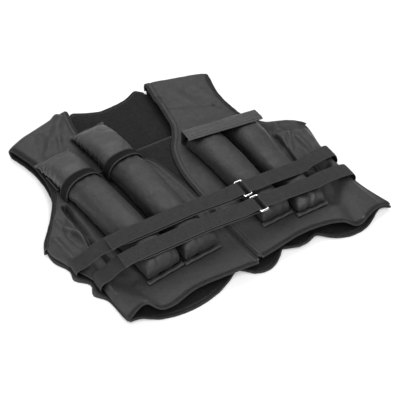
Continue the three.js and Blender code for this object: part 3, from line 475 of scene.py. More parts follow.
def panel_grid(panel):
    """The outer face of a front panel, with a column of points right on the seam beside the pockets."""
    rows = np.linspace(0, fold_row, fold_row * rows_per_section + 1)
    inside = np.concatenate([
        np.linspace(0, edge_share, edge_columns + 1),
        np.linspace(edge_share, 1, field_columns - edge_columns + 1)[1:],
    ])
    outside = np.linspace(0, 1, side_columns + 1)[1:]
    seam = read(panel, "seam", rows, True)[:, None]
    across = np.concatenate([seam * inside, seam + (1 - seam) * outside], axis=1)
    row = np.repeat(rows[:, None], across.shape[1], axis=1)
    x, y = panel_plan(panel, across, row)
    lift = np.ones_like(x)
    for i, place in enumerate(rows):
        levels = [1, *(float(read(panel, name, place, True)) for name in ("dip", "brow", "rise"))]
        lift[i, field_columns + 1:] = np.interp(outside, side_knots, levels)
    lift = soften(soften(lift, 14, 0), 5, 1)
    z = seam_level + lift * torso_gap + field_thickness + crease_lift(panel["creases"], x, y)
    points = np.stack([x, y, z], axis=2)
    loose = np.clip((across - seam * 0.97) / 0.08, 0.25, 1) * np.clip((1 - across) / 0.04, 0.2, 1)
    near_top = np.clip((y - yoke_up * body_length) / yoke_run, 0, 1)
    long_waves = points * [1.6, 0.7, 1] + points[..., 1:2] * [0.5, 0, 0]
    points[..., 2] += np.maximum(loose * (1 - near_top), 0.55 * near_top) * (
        1.4 * rumple(long_waves, 40, 3) + 0.5 * rumple(long_waves, 19, 9) + 0.15 * rumple(points, 9, 14)
    )
    from_edge = np.hypot(x - x[:, :1], y - y[:, :1])
    points[..., 2] -= 0.9 * np.exp(-(((from_edge - edge_seams[0]) / 1.5) ** 2))
    points[..., 2] += 0.5 * np.exp(-(((from_edge - edge_roll_at) / 2.0) ** 2))
    points[..., 2] = np.maximum(points[..., 2], lowest_cloth + 0.35 * (points[..., 2] - lowest_cloth))
    points[..., 2] = np.maximum(points[..., 2], lowest_cloth - 2)

    # At the shoulder the cloth turns down in a half circle and meets the back panel.
    fold_x, fold_y = points[-1, -1, :2] - points[-1, 0, :2]
    away = np.array([-fold_y, fold_x]) / math.hypot(fold_x, fold_y)
    away *= np.sign(away[1])
    turned = []
    for turn in np.linspace(0, np.pi, turn_rows + 1)[1:]:
        radius = (points[-1, :, 2] - seam_gap) / 2
        ring = points[-1].copy()
        ring[:, :2] += away * (radius * math.sin(turn))[:, None]
        ring[:, 2] += radius * (math.cos(turn) - 1)
        turned.append(ring)
    return np.concatenate([points, np.array(turned)])


panel_grids = {}
for side, panel in panels.items():
    grid = panel_grid(panel)
    panel_grids[side] = grid
    piece = cloth_skin("front_cloth_" + side, grid, cloth_thickness, nylon)
    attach(piece, "root")
    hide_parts("front_panel_" + side)


# The back panel: two layers of open lining cloth over thin padding, lying on the floor. It shows in the neck
# opening and below the front hems, and its edge bulges at the wearer's right side beside the drawn straps.
lining_colour = (0.0135, 0.0135, 0.014)
lining = woven("lining", lining_colour, 0.8, 0.0011, 0.00035, 0.4, 0.5, sheen=0.02, gloss=0.12)
hem_up = 0.029
back_lobes = [(-0.45, 0.37, 0.056), (0.09, 0.16, 0.045), (0.39, 0.13, 0.02), (0.75, 0.25, 0.062)]
neckline_at = [0, 0.1, 0.25, 0.4, 0.6, 0.75, 0.9, 1]
neckline_rise = [0, 0.03, 0.004, -0.014, -0.006, 0.006, 0.038, 0]
side_lobes = [(94, 16, 16), (136, 16, 15), (182, 16, 4)]
padding = 3.0
rounded_rim = 5.0
right_fold = [float(v) for v in panel_edges(panels["right"], fold_row)]
left_fold = [float(v) for v in panel_edges(panels["left"], fold_row)]
fold_span = left_fold[2] - right_fold[2]
neck_right = (right_fold[0] - right_fold[2]) / fold_span
neck_left = (left_fold[0] - right_fold[2]) / fold_span


def back_plan(column, row):
    """Plan of the back panel: column runs from the wearer's right side to the left, row as in the fronts."""
    right_x, right_y = (panel_edges(panels["right"], row)[i] for i in (2, 3))
    left_x, left_y = (panel_edges(panels["left"], row)[i] for i in (2, 3))
    x = right_x + (left_x - right_x) * column
    y = right_y + (left_y - right_y) * column
    line = right_fold[3] + (left_fold[3] - right_fold[3]) * column
    share = (column - neck_right) / (neck_left - neck_right)
    neck = right_fold[1] + (left_fold[1] - right_fold[1]) * share
    neck = neck + np.interp(share, neckline_at, neckline_rise) * body_length
    right_shoulder = right_fold[3] + (right_fold[1] - right_fold[3]) * column / neck_right
    left_shoulder = left_fold[1] + (left_fold[3] - left_fold[1]) * (column - neck_left) / (1 - neck_left)
    top = np.where(column <= neck_right, right_shoulder, neck)
    top = np.where(column >= neck_left, left_shoulder, top)
    near_top = np.clip((row - armpit_row) / (fold_row - armpit_row), 0, 1)
    y = y + (top - line) * near_top
    near_hem = np.clip(1 - row, 0, 1)
    hem = np.full_like(x, tape_bite + hem_up * body_length)
    for at, half_width, drop in back_lobes:
        hem = hem - drop * body_length * np.maximum(0, 1 - ((x / half_chest - at) / half_width) ** 2)
    corner = np.minimum(1, np.minimum(column, 1 - column) / 0.08)
    y = y + (hem - y) * near_hem * corner
    for at, half_width, reach in side_lobes:
        x = x - reach * np.exp(-(((y - at) / half_width) ** 2)) * np.clip(1 - column / 0.12, 0, 1)
    return x, y


shoulder_columns = 30
neck_columns = 61
back_columns = np.concatenate([
    np.linspace(0, neck_right, shoulder_columns)[:-1],
    np.linspace(neck_right, neck_left, neck_columns)[:-1],
    np.linspace(neck_left, 1, shoulder_columns),
])
back_rows = np.linspace(0, fold_row, 121)
column_grid, row_grid = np.meshgrid(back_columns, back_rows)
back_x, back_y = back_plan(column_grid, row_grid)


def distance_from_rim(x, y):
    """Distance of each point of a grid from the grid's own edge."""
    ends = [np.stack([x[i], y[i]], 1) for i in (0, -1)]
    sides = [np.stack([x[:, i], y[:, i]], 1) for i in (0, -1)]
    away = np.full(x.shape, 1e9)
    for px, py in np.concatenate(ends + sides):
        away = np.minimum(away, np.hypot(x - px, y - py))
    return away


from_rim = distance_from_rim(back_x, back_y)
rounding = np.sqrt(np.clip(1 - (1 - np.clip(from_rim / rounded_rim, 0, 1)) ** 2, 0.12, 1))
raised_hem = np.clip((back_y[0] + 14) / 26, 0, 1) ** 2 * 7
middle = padding + raised_hem[None, :] * np.exp(-row_grid / 0.5)
half_thick = padding * rounding
middle_grid = np.stack([back_x, back_y, middle], axis=2)
puff = 0.8 * rumple(middle_grid, 45, 21) + 0.4 * rumple(middle_grid, 17, 5)
back_top = np.stack([back_x, back_y, middle + half_thick + puff * np.clip(from_rim / 10, 0, 1)], axis=2)
back_bottom = np.stack([back_x, back_y, np.maximum(middle - half_thick, 0.1)], axis=2)
back_panel = closed_skin("back_pad", back_top, back_bottom, lining)
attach(back_panel, "root")
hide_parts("back_panel")


# The underlap: a plain double strip of cloth behind the front opening, with a turned top edge.
underlap_low = (-20, 14.5)
underlap_high = (-16, 334)
underlap_reach = 38
underlap_aside = 14
underlap_level = 23.9
turned_edge = 0.9
grid = np.array([
    [
        (
            np.interp(t, [0, 1], [underlap_low[0], underlap_high[0]]) + s * underlap_reach + underlap_aside,
            np.interp(t, [0, 1], [underlap_low[1], underlap_high[1]]),
            underlap_level + (turned_edge if t > 0.97 else 0),
        )
        for s in np.linspace(-1, 1.15, 30)
    ]
    for t in np.linspace(0, 1, 90)
])
grid[..., 2] += 0.35 * rumple(grid, 22, 31)
underlap = cloth_skin("underlap_cloth", grid, 1.5, lining)
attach(underlap, "root")
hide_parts("front_underlap")


# The bindings: woven tape folded over every raw edge and stitched through, rippled a little by its seam. The
# front edges have a narrower one than the armholes, the hems and the neckline.
tape_widths = {"armhole": 11.0, "edge": 6.6, "hem": 9.0, "neck": 8.5}
tape_thicknesses = {"armhole": 5.2, "edge": 4.4, "hem": 4.6, "back": 5.0}
stitch_inset = 0.24
tape_colour = (0.0155, 0.0155, 0.016)
tape = woven("binding_tape", tape_colour, 0.75, 0.0009, 0.0005, 0.45, 0.6, sheen=0.02, gloss=0.14)


def flat_round(width, thickness, sides=16):
    """Outline of a flat band with round edges: distances out from the edge and up from the cloth."""
    turn = np.arange(sides) * 2 * np.pi / sides
    out = np.sign(np.cos(turn)) * np.abs(np.cos(turn)) ** 0.55
    up = np.sign(np.sin(turn)) * np.abs(np.sin(turn)) ** 0.8
    return np.stack([out * width / 2, up * thickness / 2], axis=1)


def loft_piece(name, sections, material):
    """A closed piece through sections of equal point counts, with both ends closed."""
    count, sides = sections.shape[:2]
    index = np.arange(count * sides).reshape(count, sides)
    after = np.roll(index, -1, axis=1)
    quads = np.stack([index[:-1], after[:-1], after[1:], index[1:]], axis=2).reshape(-1, 4).tolist()
    points = sections.reshape(-1, 3)
    ends = [sections[0].mean(0), sections[-1].mean(0)]
    first, last = len(points), len(points) + 1
    fans = [[first, int(b), int(a)] for a, b in zip(index[0], after[0])]
    fans += [[last, int(a), int(b)] for a, b in zip(index[-1], after[-1])]
    points = np.concatenate([points, ends])
    around = np.linalg.norm(np.diff(sections, axis=1), axis=2).mean(0)
    u = np.concatenate([[0], np.cumsum(around)])
    v = np.concatenate([[0], np.cumsum(np.linalg.norm(np.diff(sections.mean(1), axis=0), axis=1))])
    place = np.stack(np.meshgrid(u, v), axis=2).reshape(-1, 2)
    place = np.concatenate([place, [[0, 0], [0, v[-1]]]]) / 1000
    return make_piece(name, points, quads + fans, material, place)


def even_line(points, step):
    """The same line with its points one step apart."""
    points = np.asarray(points, float)
    length = np.concatenate([[0], np.cumsum(np.linalg.norm(np.diff(points, axis=0), axis=1))])
    places = np.linspace(0, length[-1], max(2, int(round(length[-1] / step)) + 1))
    return np.stack([np.interp(places, length, points[:, i]) for i in range(3)], axis=1)


stitch_lines = []


def bind(name, line, inner_line, width, thickness, node, seed, ripple=0.9):
    """A tape along an edge: line is the edge and inner_line lies just inside it, both midway in the cloth."""
    edge = even_line(line, 2.5)
    length = np.concatenate([[0], np.cumsum(np.linalg.norm(np.diff(line, axis=0), axis=1))])
    even = np.linspace(0, length[-1], len(edge))
    inside = np.stack([np.interp(even, length, inner_line[:, i]) for i in range(3)], axis=1)
    edge = soften(edge, 6, 0)
    inside = soften(inside, 6, 0)
    out = edge - inside
    out /= np.linalg.norm(out, axis=1, keepdims=True)
    run = np.gradient(edge, axis=0)
    run /= np.linalg.norm(run, axis=1, keepdims=True)
    up = np.cross(run, out)
    up /= np.linalg.norm(up, axis=1, keepdims=True)
    outline = flat_round(1, 1)
    wave = rumple(edge, 16, seed) + 0.6 * rumple(edge, 7, seed + 4)
    widths = width * (1 + 0.10 * rumple(edge, 12, seed + 8))
    centre = edge + out * (width * 0.03) + up * (ripple * wave)[:, None]
    sections = np.stack([
        c + np.outer(outline[:, 0] * w, o) + np.outer(outline[:, 1] * thickness, n)
        for c, o, n, w in zip(centre, out, up, widths)
    ])
    sections[..., 2] = np.maximum(sections[..., 2], 0.1)
    for face in (-1, 1):
        seam = centre - out * (width * stitch_inset) + up * (face * (thickness / 2 + 0.05))
        seam[:, 2] = np.maximum(seam[:, 2], 0.4)
        stitch_lines.append(seam)
    piece = loft_piece(name, sections, tape)
    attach(piece, "root")
    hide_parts(node)


back_middle = (back_top + back_bottom) / 2
first_bound = armpit_row * rows_per_section
first_bound_back = int(np.searchsorted(back_rows, armpit_row))
for side in panels:
    grid = panel_grids[side]
    body = grid - grid_normals(grid) * cloth_thickness / 2
    column, inner_column = (-1, -4) if side == "left" else (0, 3)
    back_line = back_middle[first_bound_back:, column][::-1]
    back_inside = back_middle[first_bound_back:, inner_column][::-1]
    line = np.concatenate([body[first_bound:, -1], back_line[1:]])
    inside = np.concatenate([body[first_bound:, -5], back_inside[1:]])
    sizes = (tape_widths["armhole"], tape_thicknesses["armhole"])
    bind("armhole_tape_" + side, line, inside, *sizes, "armhole_binding_" + side, 40 + column)
    turned = len(body) - 3
    from_side = np.hypot(*(body[..., :2] - body[:, :1, :2]).transpose(2, 0, 1))
    for seam in edge_seams:
        at = np.argmin(np.abs(from_side[:turned] - seam), axis=1)
        stitch_lines.append(np.array([grid[i, j] for i, j in enumerate(at)]) + [0, 0, 0.1])
    sizes = (tape_widths["edge"], tape_thicknesses["edge"])
    line, inside = body[:turned, 0], body[:turned, 3]
    bind("edge_tape_" + side, line, inside, *sizes, "edge_piping_" + side, 55 + column, 0.3)
    sizes = (tape_widths["hem"], tape_thicknesses["hem"])
    bind("hem_tape_" + side, body[0], body[3], *sizes, "hem_binding_" + side, 63 + column, 0.5)
sizes = (tape_widths["hem"], tape_thicknesses["back"])
bind("hem_tape_back", back_middle[0], back_middle[4], *sizes, "hem_binding_back", 71, 0.7)
neck_span = slice(shoulder_columns, shoulder_columns + neck_columns - 2)
neckline, below_neckline = (back_middle[i, neck_span] for i in (-1, -4))
sizes = (tape_widths["neck"], tape_thicknesses["back"])
bind("neck_tape", neckline, below_neckline, *sizes, "neck_binding", 77, 0.5)


# The pockets: four long sleeves of the same cloth, sewn flat along both sides and across the bottom with a
# narrow stitched lip, and each filled tight by its sandbag. The straps press into the filled sleeves.
pocket_width = 70.0
pocket_height = 43.0
pocket_spacing = 1.5
pocket_base = field_top + seam_gap
pocket_sides = {
    "right": {"mouth": -0.155, "end": -0.091, "spread": 13.5, "slim": 1.0, "fill": 1.0, "outwards": -1},
    "left": {"mouth": 0.165, "end": 0.223, "spread": 0.5, "slim": 0.86, "fill": 0.84, "outwards": 1},
}
pocket_rows = [
    {"name": "1", "side": "right", "lane": 1, "mouth_up": 0.621, "end_up": 0.115, "bag_out": 0.168},
    {"name": "2", "side": "right", "lane": 0, "mouth_up": 0.633, "end_up": 0.123, "bag_out": 0.222},
    {"name": "3", "side": "left", "lane": 0, "mouth_up": 0.604, "end_up": 0.132, "bag_out": 0},
    {"name": "4", "side": "left", "lane": 1, "mouth_up": 0.584, "end_up": 0.107, "bag_out": 0},
]
pressed_height = {"1": 1.0, "2": 1.0, "3": 1.0, "4": 0.8}
profile_along = [0, 0.07, 0.18, 0.5, 0.84, 0.92, 0.965, 0.99, 1]
profile_width = [1, 1, 1, 1, 1, 1, 1, 0.99, 0.98]
profile_height = [0.76, 0.86, 1, 1, 1, 0.98, 0.91, 0.74, 0.5]
cloth_inset = 2.0
swell = {"cap": 0.003, "pressure": 3.0}
swell_steps = 20
pocket_colour = (0.0225, 0.0225, 0.0232)
cushion = woven("filled_cloth", pocket_colour, 0.46, 0.0006, 0.00012, 0.24, 0.5, coordinates="Object")


def arch(centre, sideways, width, height, base, steps=40, fullness=2.5):
    """A flat base and a full round top, square to the pocket's run."""
    turn = np.linspace(0, np.pi, steps + 1)
    out = -np.sign(np.cos(turn)) * np.abs(np.cos(turn)) ** (2 / fullness)
    up = np.sin(turn) ** (2 / fullness)
    plan = [centre[i] + sideways[i] * out * width / 2 for i in (0, 1)]
    return np.stack([*plan, base + up * height], axis=1)


def place_pocket(row):
    """A pocket's sizes and its place on its panel, from its row and its side's entry."""
    lane = pocket_sides[row["side"]]
    end_width = pocket_width * lane["slim"]
    mouth_x = lane["mouth"] * half_chest + lane["outwards"] * (
        pocket_width * (row["lane"] + 0.5) + (lane["spread"] + pocket_spacing) * row["lane"]
    )
    end_x = lane["end"] * half_chest + lane["outwards"] * (
        end_width * (row["lane"] + 0.5) + pocket_spacing * row["lane"]
    )
    mouth = np.array([mouth_x, row["mouth_up"] * body_length])
    end = np.array([end_x, row["end_up"] * body_length])
    run = (end - mouth) / np.linalg.norm(end - mouth)
    return {
        **row,
        "mouth": mouth,
        "end": end,
        "run": run,
        "sideways": np.array([-run[1], run[0]]),
        "length": float(np.linalg.norm(end - mouth)),
        "height": pocket_height * lane["fill"],
        "end_width": end_width,
    }


def pressed(pocket, along):
    """Share of its height that a pocket keeps at a place along it, where the straps press it flatter."""
    t = np.clip((along - 0.15) / 0.35, 0, 1)
    return 1 + (pressed_height[pocket["name"]] - 1) * t * t * (3 - 2 * t)


def settle(piece):
    """Makes what a piece's modifiers show its own mesh."""
    bpy.context.view_layer.update()
    mesh = bpy.data.meshes.new_from_object(piece.evaluated_get(bpy.context.evaluated_depsgraph_get()))
    piece.modifiers.clear()
    old = piece.data
    piece.data = mesh
    mesh.name = piece.name
    bpy.data.meshes.remove(old)


def points_of(mesh, what="co"):
    flat = np.empty(len(mesh.vertices) * 3)
    mesh.vertices.foreach_get(what, flat)
    return flat.reshape(-1, 3)


def plump(piece, voxel, cap, pressure):
    """Stuffs a closed piece: an even mesh of it swells as cloth, and no point moves further than cap."""
    even = piece.modifiers.new("even", "REMESH")
    even.mode = "VOXEL"
    even.voxel_size = voxel
    even.use_smooth_shade = True
    settle(piece)
    start = points_of(piece.data)
    swelling = piece.modifiers.new("swelling", "CLOTH")
    settings = swelling.settings
    settings.quality = 5
    settings.mass = 0.3
    settings.tension_stiffness = settings.compression_stiffness = 15
    settings.bending_stiffness = 0.3
    settings.use_pressure = True
    settings.uniform_pressure_force = pressure
    settings.effector_weights.gravity = 0
    for step in range(1, swell_steps + 1):
        scene.frame_set(step)
    swollen = bpy.data.meshes.new_from_object(piece.evaluated_get(bpy.context.evaluated_depsgraph_get()))
    move = points_of(swollen) - start
    bpy.data.meshes.remove(swollen)
    piece.modifiers.clear()
    scene.frame_set(1)
    reach = np.linalg.norm(move, axis=1, keepdims=True) + 1e-12
    move *= np.minimum(1, cap / reach)
    piece.data.vertices.foreach_set("co", (start + move).ravel())
    piece.data.update()


def refine(piece):
    """Makes a piece's mesh finer. Returns its points in millimetres and the directions straight out there."""
    fine = piece.modifiers.new("fine", "SUBSURF")
    fine.levels = fine.render_levels = 1
    settle(piece)
    return points_of(piece.data) * 1000 - shift, points_of(piece.data, "normal")


def move_points(piece, points):
    piece.data.vertices.foreach_set("co", ((points + shift) / 1000).ravel())
    piece.data.polygons.foreach_set("use_smooth", np.ones(len(piece.data.polygons), bool))
    piece.data.update()


def width_at(pocket, along):
    return pocket_width + (pocket["end_width"] - pocket_width) * along


def height_at(pocket, along):
    """Share of a pocket's full height at a place along it."""
    return np.interp(along, profile_along, profile_height) * pressed(pocket, along)


def pocket_places(pocket, points):
    """Where points lie in a pocket: share of its length, of its half width, and height above its base."""
    flat = points[:, :2] - pocket["mouth"]
    along = flat @ pocket["run"] / pocket["length"]
    half_width = width_at(pocket, np.clip(along, 0, 1)) / 2
    return along, flat @ pocket["sideways"] / half_width, points[:, 2] - pocket_base


def tube_sections(pocket, inset):
    """Sections of a pocket from its mouth to its squarer end, each kept inside its full size by an inset."""
    sections = []
    for along in np.concatenate([np.linspace(0.0, 0.9, 60), np.linspace(0.9, 1, 16)[1:]]):
        centre = pocket["mouth"] + pocket["run"] * along * pocket["length"]
        width = width_at(pocket, along) * np.interp(along, profile_along, profile_width) - 2 * inset
        height = pocket["height"] * height_at(pocket, along) - 2 * inset
        squareness = np.interp(along, [0.75, 0.95], [2.5, 4.2])
        base = pocket_base + inset
        sections.append(arch(centre, pocket["sideways"], width, height, base, fullness=squareness))
    return np.array(sections)


strap_lines = {
    "upper": {"ring_up": 0.246, "free_up": 0.25},
    "lower": {"ring_up": 0.159, "free_up": 0.163},
}
webbing_width = 30.0


def under_straps(y):
    """How far a pocket's cloth may come past its own height, which is less where the two straps press it."""
    free_rise = np.full_like(y, 4.0)
    for line in strap_lines.values():
        middle_y = (line["ring_up"] + line["free_up"]) / 2 * body_length
        away = np.clip((np.abs(y - middle_y) - webbing_width / 2) / 9, 0, 1)
        free_rise = np.minimum(free_rise, -0.4 + 4.4 * away)
    return free_rise


lip_width = 8.4
lip_thickness = 4.4
lip_level = 2.4
pockets = [place_pocket(row) for row in pocket_rows]
for number, pocket in enumerate(pockets):
    piece = loft_piece("filled_pocket_" + pocket["name"], tube_sections(pocket, cloth_inset), cushion)
    plump(piece, 0.004, **swell)
    points, normals = refine(piece)
    along, across, _ = pocket_places(pocket, points)
    wrinkle = 0.5 * rumple(points, 30, 80 + number) + 0.35 * rumple(points, 11, 90 + number)
    near_end = np.clip((along - 0.88) / 0.1, 0, 1)
    pleat_depth = 1.0 if pocket["name"] == "4" else 0.45
    pleats = near_end * pleat_depth * np.sin(across * 9 + 3.5 * rumple(points, 21, 5 + number))
    near_mouth = np.clip((0.16 - along) / 0.1, 0, 1)
    gathers = near_mouth * 0.7 * np.sin(across * 13 + 4 * rumple(points, 30, 11 + number))
    points += normals * (wrinkle + pleats + gathers)[:, None]
    limit = pocket_base + pocket["height"] * height_at(pocket, along) + under_straps(points[:, 1])
    height = points[:, 2]
    height = np.where(height > limit, limit - 0.2 * np.minimum(height - limit, 2), height)
    points[:, 2] = np.maximum(height, pocket_base - 0.2)
    move_points(piece, points)
    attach(piece, "root")
    inside = [] if pocket["bag_out"] else ["weight_bag_" + pocket["name"]]
    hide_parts("pocket_tube_" + pocket["name"], *inside)

    # The lip below the pocket: its seam allowance, stitched down flat.
    run, sideways = pocket["run"], pocket["sideways"]
    half_lip = pocket["end_width"] * 0.99 / 2
    outline = flat_round(lip_width, lip_thickness)
    lip = []
    for s in np.linspace(-1, 1, 40):
        on_lip = pocket["end"] + run * 1.8 + sideways * s * half_lip
        sag = 0.5 * math.sin(s * 9 + number)
        plan = [on_lip[i] + run[i] * outline[:, 0] for i in (0, 1)]
        lip.append(np.stack([*plan, pocket_base + lip_level + sag + outline[:, 1]], axis=1))
    stitch_lines.append(np.array([ring.mean(0) + [0, 0, 2.2] + [*(run * 1.6), 0] for ring in lip]))
    lip_piece = loft_piece("pocket_lip_" + pocket["name"], np.array(lip), nylon)
    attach(lip_piece, "root")


# The two sandbags that stick out of the open pockets: pillows of cloth, sewn flat across the end, which
# keeps the end wide and leaves an ear at each corner.
bag_along = [-0.2, 0, 0.25, 0.55, 0.85, 0.96, 1]
bag_width = [1, 1, 1, 1.02, 1.05, 1.07, 1.06]
bag_height = [0.76, 0.78, 0.86, 0.76, 0.46, 0.24, 0.12]
bag_lean = {"1": 0, "2": -4}
bag_full_width = pocket_width - 5
bag_full_height = pocket_height - 4
bag_seam_width = 6.5
bag_seam_thickness = 2.4
bag_seam_level = 4.0
bag_colour = (0.036, 0.036, 0.037)
bag_cloth = woven("bag_cloth", bag_colour, 0.46, 0.0006, 0.0001, 0.18, 0.5, coordinates="Object")
open_pockets = pockets[:2]

for number, pocket in enumerate(open_pockets):
    out = pocket["bag_out"] * body_length
    lean = bag_lean[pocket["name"]]
    sections = []
    for along in np.linspace(-0.2, 1, 60):
        centre = pocket["mouth"] - pocket["run"] * along * out + np.array([lean * along, 0])
        width = bag_full_width * np.interp(along, bag_along, bag_width)
        height = bag_full_height * np.interp(along, bag_along, bag_height)
        sections.append(arch(centre, pocket["sideways"], width, height, pocket_base + 1.9, fullness=3.2))
    piece = loft_piece("sandbag_" + pocket["name"], np.array(sections), bag_cloth)
    plump(piece, 0.0036, **swell)
    points, normals = refine(piece)
    along, across, up = pocket_places(pocket, points)
    outside = -along * pocket["length"] / out
    wrinkle = 0.5 * rumple(points, 26, 120 + number) + 0.3 * rumple(points, 9, 130 + number)
    wall = np.clip((np.abs(across) - 0.7) / 0.25, 0, 1) * np.clip(1 - up / 34, 0, 1)
    wall = wall * np.clip(outside / 0.1, 0, 1)
    folds = wall * 1.7 * np.sin(outside * 46 + 5 * rumple(points, 18, 7 + number))
    points += normals * (wrinkle + folds)[:, None]
    points[:, 2] = np.maximum(points[:, 2], pocket_base + 1.5)
    move_points(piece, points)
    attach(piece, "root")
    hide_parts("weight_bag_" + pocket["name"])

    # The bag's end seam: both layers of cloth, pressed flat.
    outline = flat_round(bag_seam_width, bag_seam_thickness)
    seam = []
    for s in np.linspace(-1, 1, 44):
        centre = pocket["mouth"] - pocket["run"] * (out + 1.5) + np.array([lean, 0])
        centre = centre + pocket["sideways"] * s * bag_full_width * 0.54
        wave = 0.8 * math.sin(s * 7 + number * 2) + 1.6 * abs(s) ** 6
        plan = [centre[i] - pocket["run"][i] * outline[:, 0] for i in (0, 1)]
        seam.append(np.stack([*plan, pocket_base + bag_seam_level + wave + outline[:, 1]], axis=1))
    stitch_lines.append(np.array([ring.mean(0) + [0, 0, 1.25] for ring in seam]))
    seam_piece = loft_piece("bag_seam_" + pocket["name"], np.array(seam), bag_cloth)
    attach(seam_piece, "root")


# The mouth bands: dark hook-and-loop tape sewn round the mouths of the two open pockets.
band_length = 20.0
band_thickness = 1.6
band_room = 3.6
band_colour = (0.0062, 0.0062, 0.0064)
band_finish = woven("band_tape", band_colour, 0.9, 0.0012, 0.0006, 0.45, 0.6, sheen=0.02, gloss=0.1)
for number, pocket in enumerate(open_pockets):
    sections = []
    for along in np.linspace(-0.004, band_length / pocket["length"], 12):
        centre = pocket["mouth"] + pocket["run"] * along * pocket["length"]
        height = pocket["height"] * np.interp(max(along, 0), profile_along, profile_height) + band_room
        sections.append(arch(centre, pocket["sideways"], pocket_width + band_room, height, pocket_base, 60))
    grid = np.array(sections)
    grid += grid_normals(grid) * (0.35 * rumple(grid, 12, 150 + number))[..., None]
    grid[..., 2] = np.maximum(grid[..., 2], pocket_base)
    for at in (1, -2):
        stitch_lines.append(grid[at] + grid_normals(grid)[at] * 0.1)
    band = cloth_skin("mouth_tape_" + pocket["name"], grid, band_thickness, band_finish)
    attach(band, "root")
    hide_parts("mouth_band_" + pocket["name"])


# The flaps: the one on the wearer's right is plain nylon and lies open under the bags' ends. The other is
# doubled, smoothly coated and stitched in rows. It is closed over the two covered mouths, open at its ends.
flap_colour = (0.028, 0.028, 0.0288)
flap_finish = woven("flap_cloth", flap_colour, 0.42, 0.0005, 0.00004, 0.1, 0.08, gloss=0.42)
flap_seams = (4.0, 13.0, 16.5, 25.5, 29.0)
flap_reach = 38.0
flap_skirt = 2.5
flap_thickness = 2.0
outer_pocket, inner_pocket = pockets[0], pockets[1]
near = max(outer_pocket["mouth"][1], inner_pocket["mouth"][1]) + flap_skirt + pocket_spacing
outer_x = outer_pocket["mouth"][0] - pocket_width / 2 - pocket_spacing
inner_x = inner_pocket["mouth"][0] + pocket_width / 2
grid = np.array([
    [
        (
            outer_x - flap_skirt * t + (inner_x - outer_x + flap_skirt * t) * s,
            near + t * flap_reach * (1 + s),
            pocket_base + 1.3,
        )
        for s in np.linspace(0, 1, 60)
    ]
    for t in np.linspace(0, 1, 24)
])
grid[..., 2] += 0.3 * rumple(grid, 18, 160)
flap_open = cloth_skin("open_flap_cloth", grid, 1.2, nylon)
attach(flap_open, "root")
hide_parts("flap_open")

inner_pocket, outer_pocket = pockets[2], pockets[3]
start = inner_pocket["mouth"]
across = outer_pocket["mouth"] - start
pitch = float(np.linalg.norm(across))
across = across / pitch
backwards = np.array([-across[1], across[0]])
clear = pocket_width / 2 * abs(across[1]) + flap_skirt + flap_thickness
flap_width = pitch + pocket_width
mouth_top = pocket_base + inner_pocket["height"] * (profile_height[0] + 0.08) + seam_gap + flap_thickness / 2
flap_top = pocket_base + inner_pocket["height"] + seam_gap + flap_thickness / 2
corner = 7.0
profile = even_line([
    (clear, 0, pocket_base),
    (clear + 0.6, 0, (pocket_base + mouth_top) / 2),
    (clear, 0, mouth_top - corner),
    (clear - corner * 0.15, 0, mouth_top - corner * 0.45),
    (clear - corner * 0.4, 0, mouth_top - corner * 0.1),
    (clear - corner * 0.8, 0, mouth_top + 1.2),
    (clear - corner * 1.3, 0, mouth_top + 2.2),
    (clear - flap_reach / 2, 0, mouth_top + (flap_top - mouth_top) * 0.8),
    (clear - flap_reach + 5, 0, flap_top + flap_thickness),
    (clear - flap_reach + 1.5, 0, flap_top + flap_thickness * 0.5),
    (clear - flap_reach, 0, flap_top - flap_thickness * 0.7),
], 1.0)
profile = soften(profile, 3, 0)
flap_rows = np.linspace(-0.5, 0.5, 110)
grid = np.empty((len(flap_rows), len(profile), 3))
between_mouths = start + across * pitch / 2
for i, s in enumerate(flap_rows):
    grid[i, :, :2] = between_mouths + across * s * flap_width + np.outer(profile[:, 0], backwards)
    grid[i, :, 2] = profile[:, 2]
run_along = np.concatenate([[0], np.cumsum(np.linalg.norm(np.diff(profile, axis=0), axis=1))])
from_front = run_along[-1] - run_along
for seam_at in flap_seams:
    grid[..., 2] -= 1.3 * np.exp(-(((from_front - seam_at) / 1.2) ** 2))[None, :]
grid[..., 2] += 0.5 * rumple(grid, 40, 170) * np.clip(run_along / 20, 0, 1)[None, :]
for seam_at in flap_seams:
    at = int(np.argmin(np.abs(from_front - seam_at)))
    stitch_lines.append(grid[:, at] + [0, 0, 0.1])
flap_closed = cloth_skin("closed_flap_cloth", grid, flap_thickness, flap_finish)
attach(flap_closed, "root")
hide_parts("flap_closed")


# The straps: 30 mm nylon webbing. The right-hand parts come round the side, run over the pockets, pass their
# ring and double back to a cut end; the left-hand parts are sewn back round the other side of the ring.
webbing_thickness = 1.8
webbing_clearance = 0.5
ring_wire = 3.5
ring_depth = 18.0
strap_rows = {
    "upper": {"free_x": -0.735, "right_up": 0.313, "left_up": 0.309},
    "lower": {"free_x": -0.73, "right_up": 0.213, "left_up": 0.2},
}
brow_inset = 14.0
strap_lift = 2.0
slack = {"right": 10.0, "left": 3.0}
layer = webbing_thickness + webbing_clearance
bar_offset = (ring_depth - ring_wire) / 2
bend_radius = ring_wire / 2 + webbing_clearance + webbing_thickness / 2
sewn_end = 38.0
layer_drift = 1.1
side_bulge = 3.0
side_seam_level = back_thickness + 2.5
webbing_colour = (0.0215, 0.0215, 0.0222)
webbing = woven("webbing", webbing_colour, 0.66, 0.0015, 0.0009, 0.32, 0.3, sheen=0.03, gloss=0.22)
rows_below_chest = 100


def pocket_under(pocket, y):
    """Middle and half width of a pocket at a height above the hem line."""
    along = (pocket["mouth"][1] - y) / pocket["length"]
    return pocket["mouth"][0] + pocket["run"][0] * along * pocket["length"], width_at(pocket, along) / 2


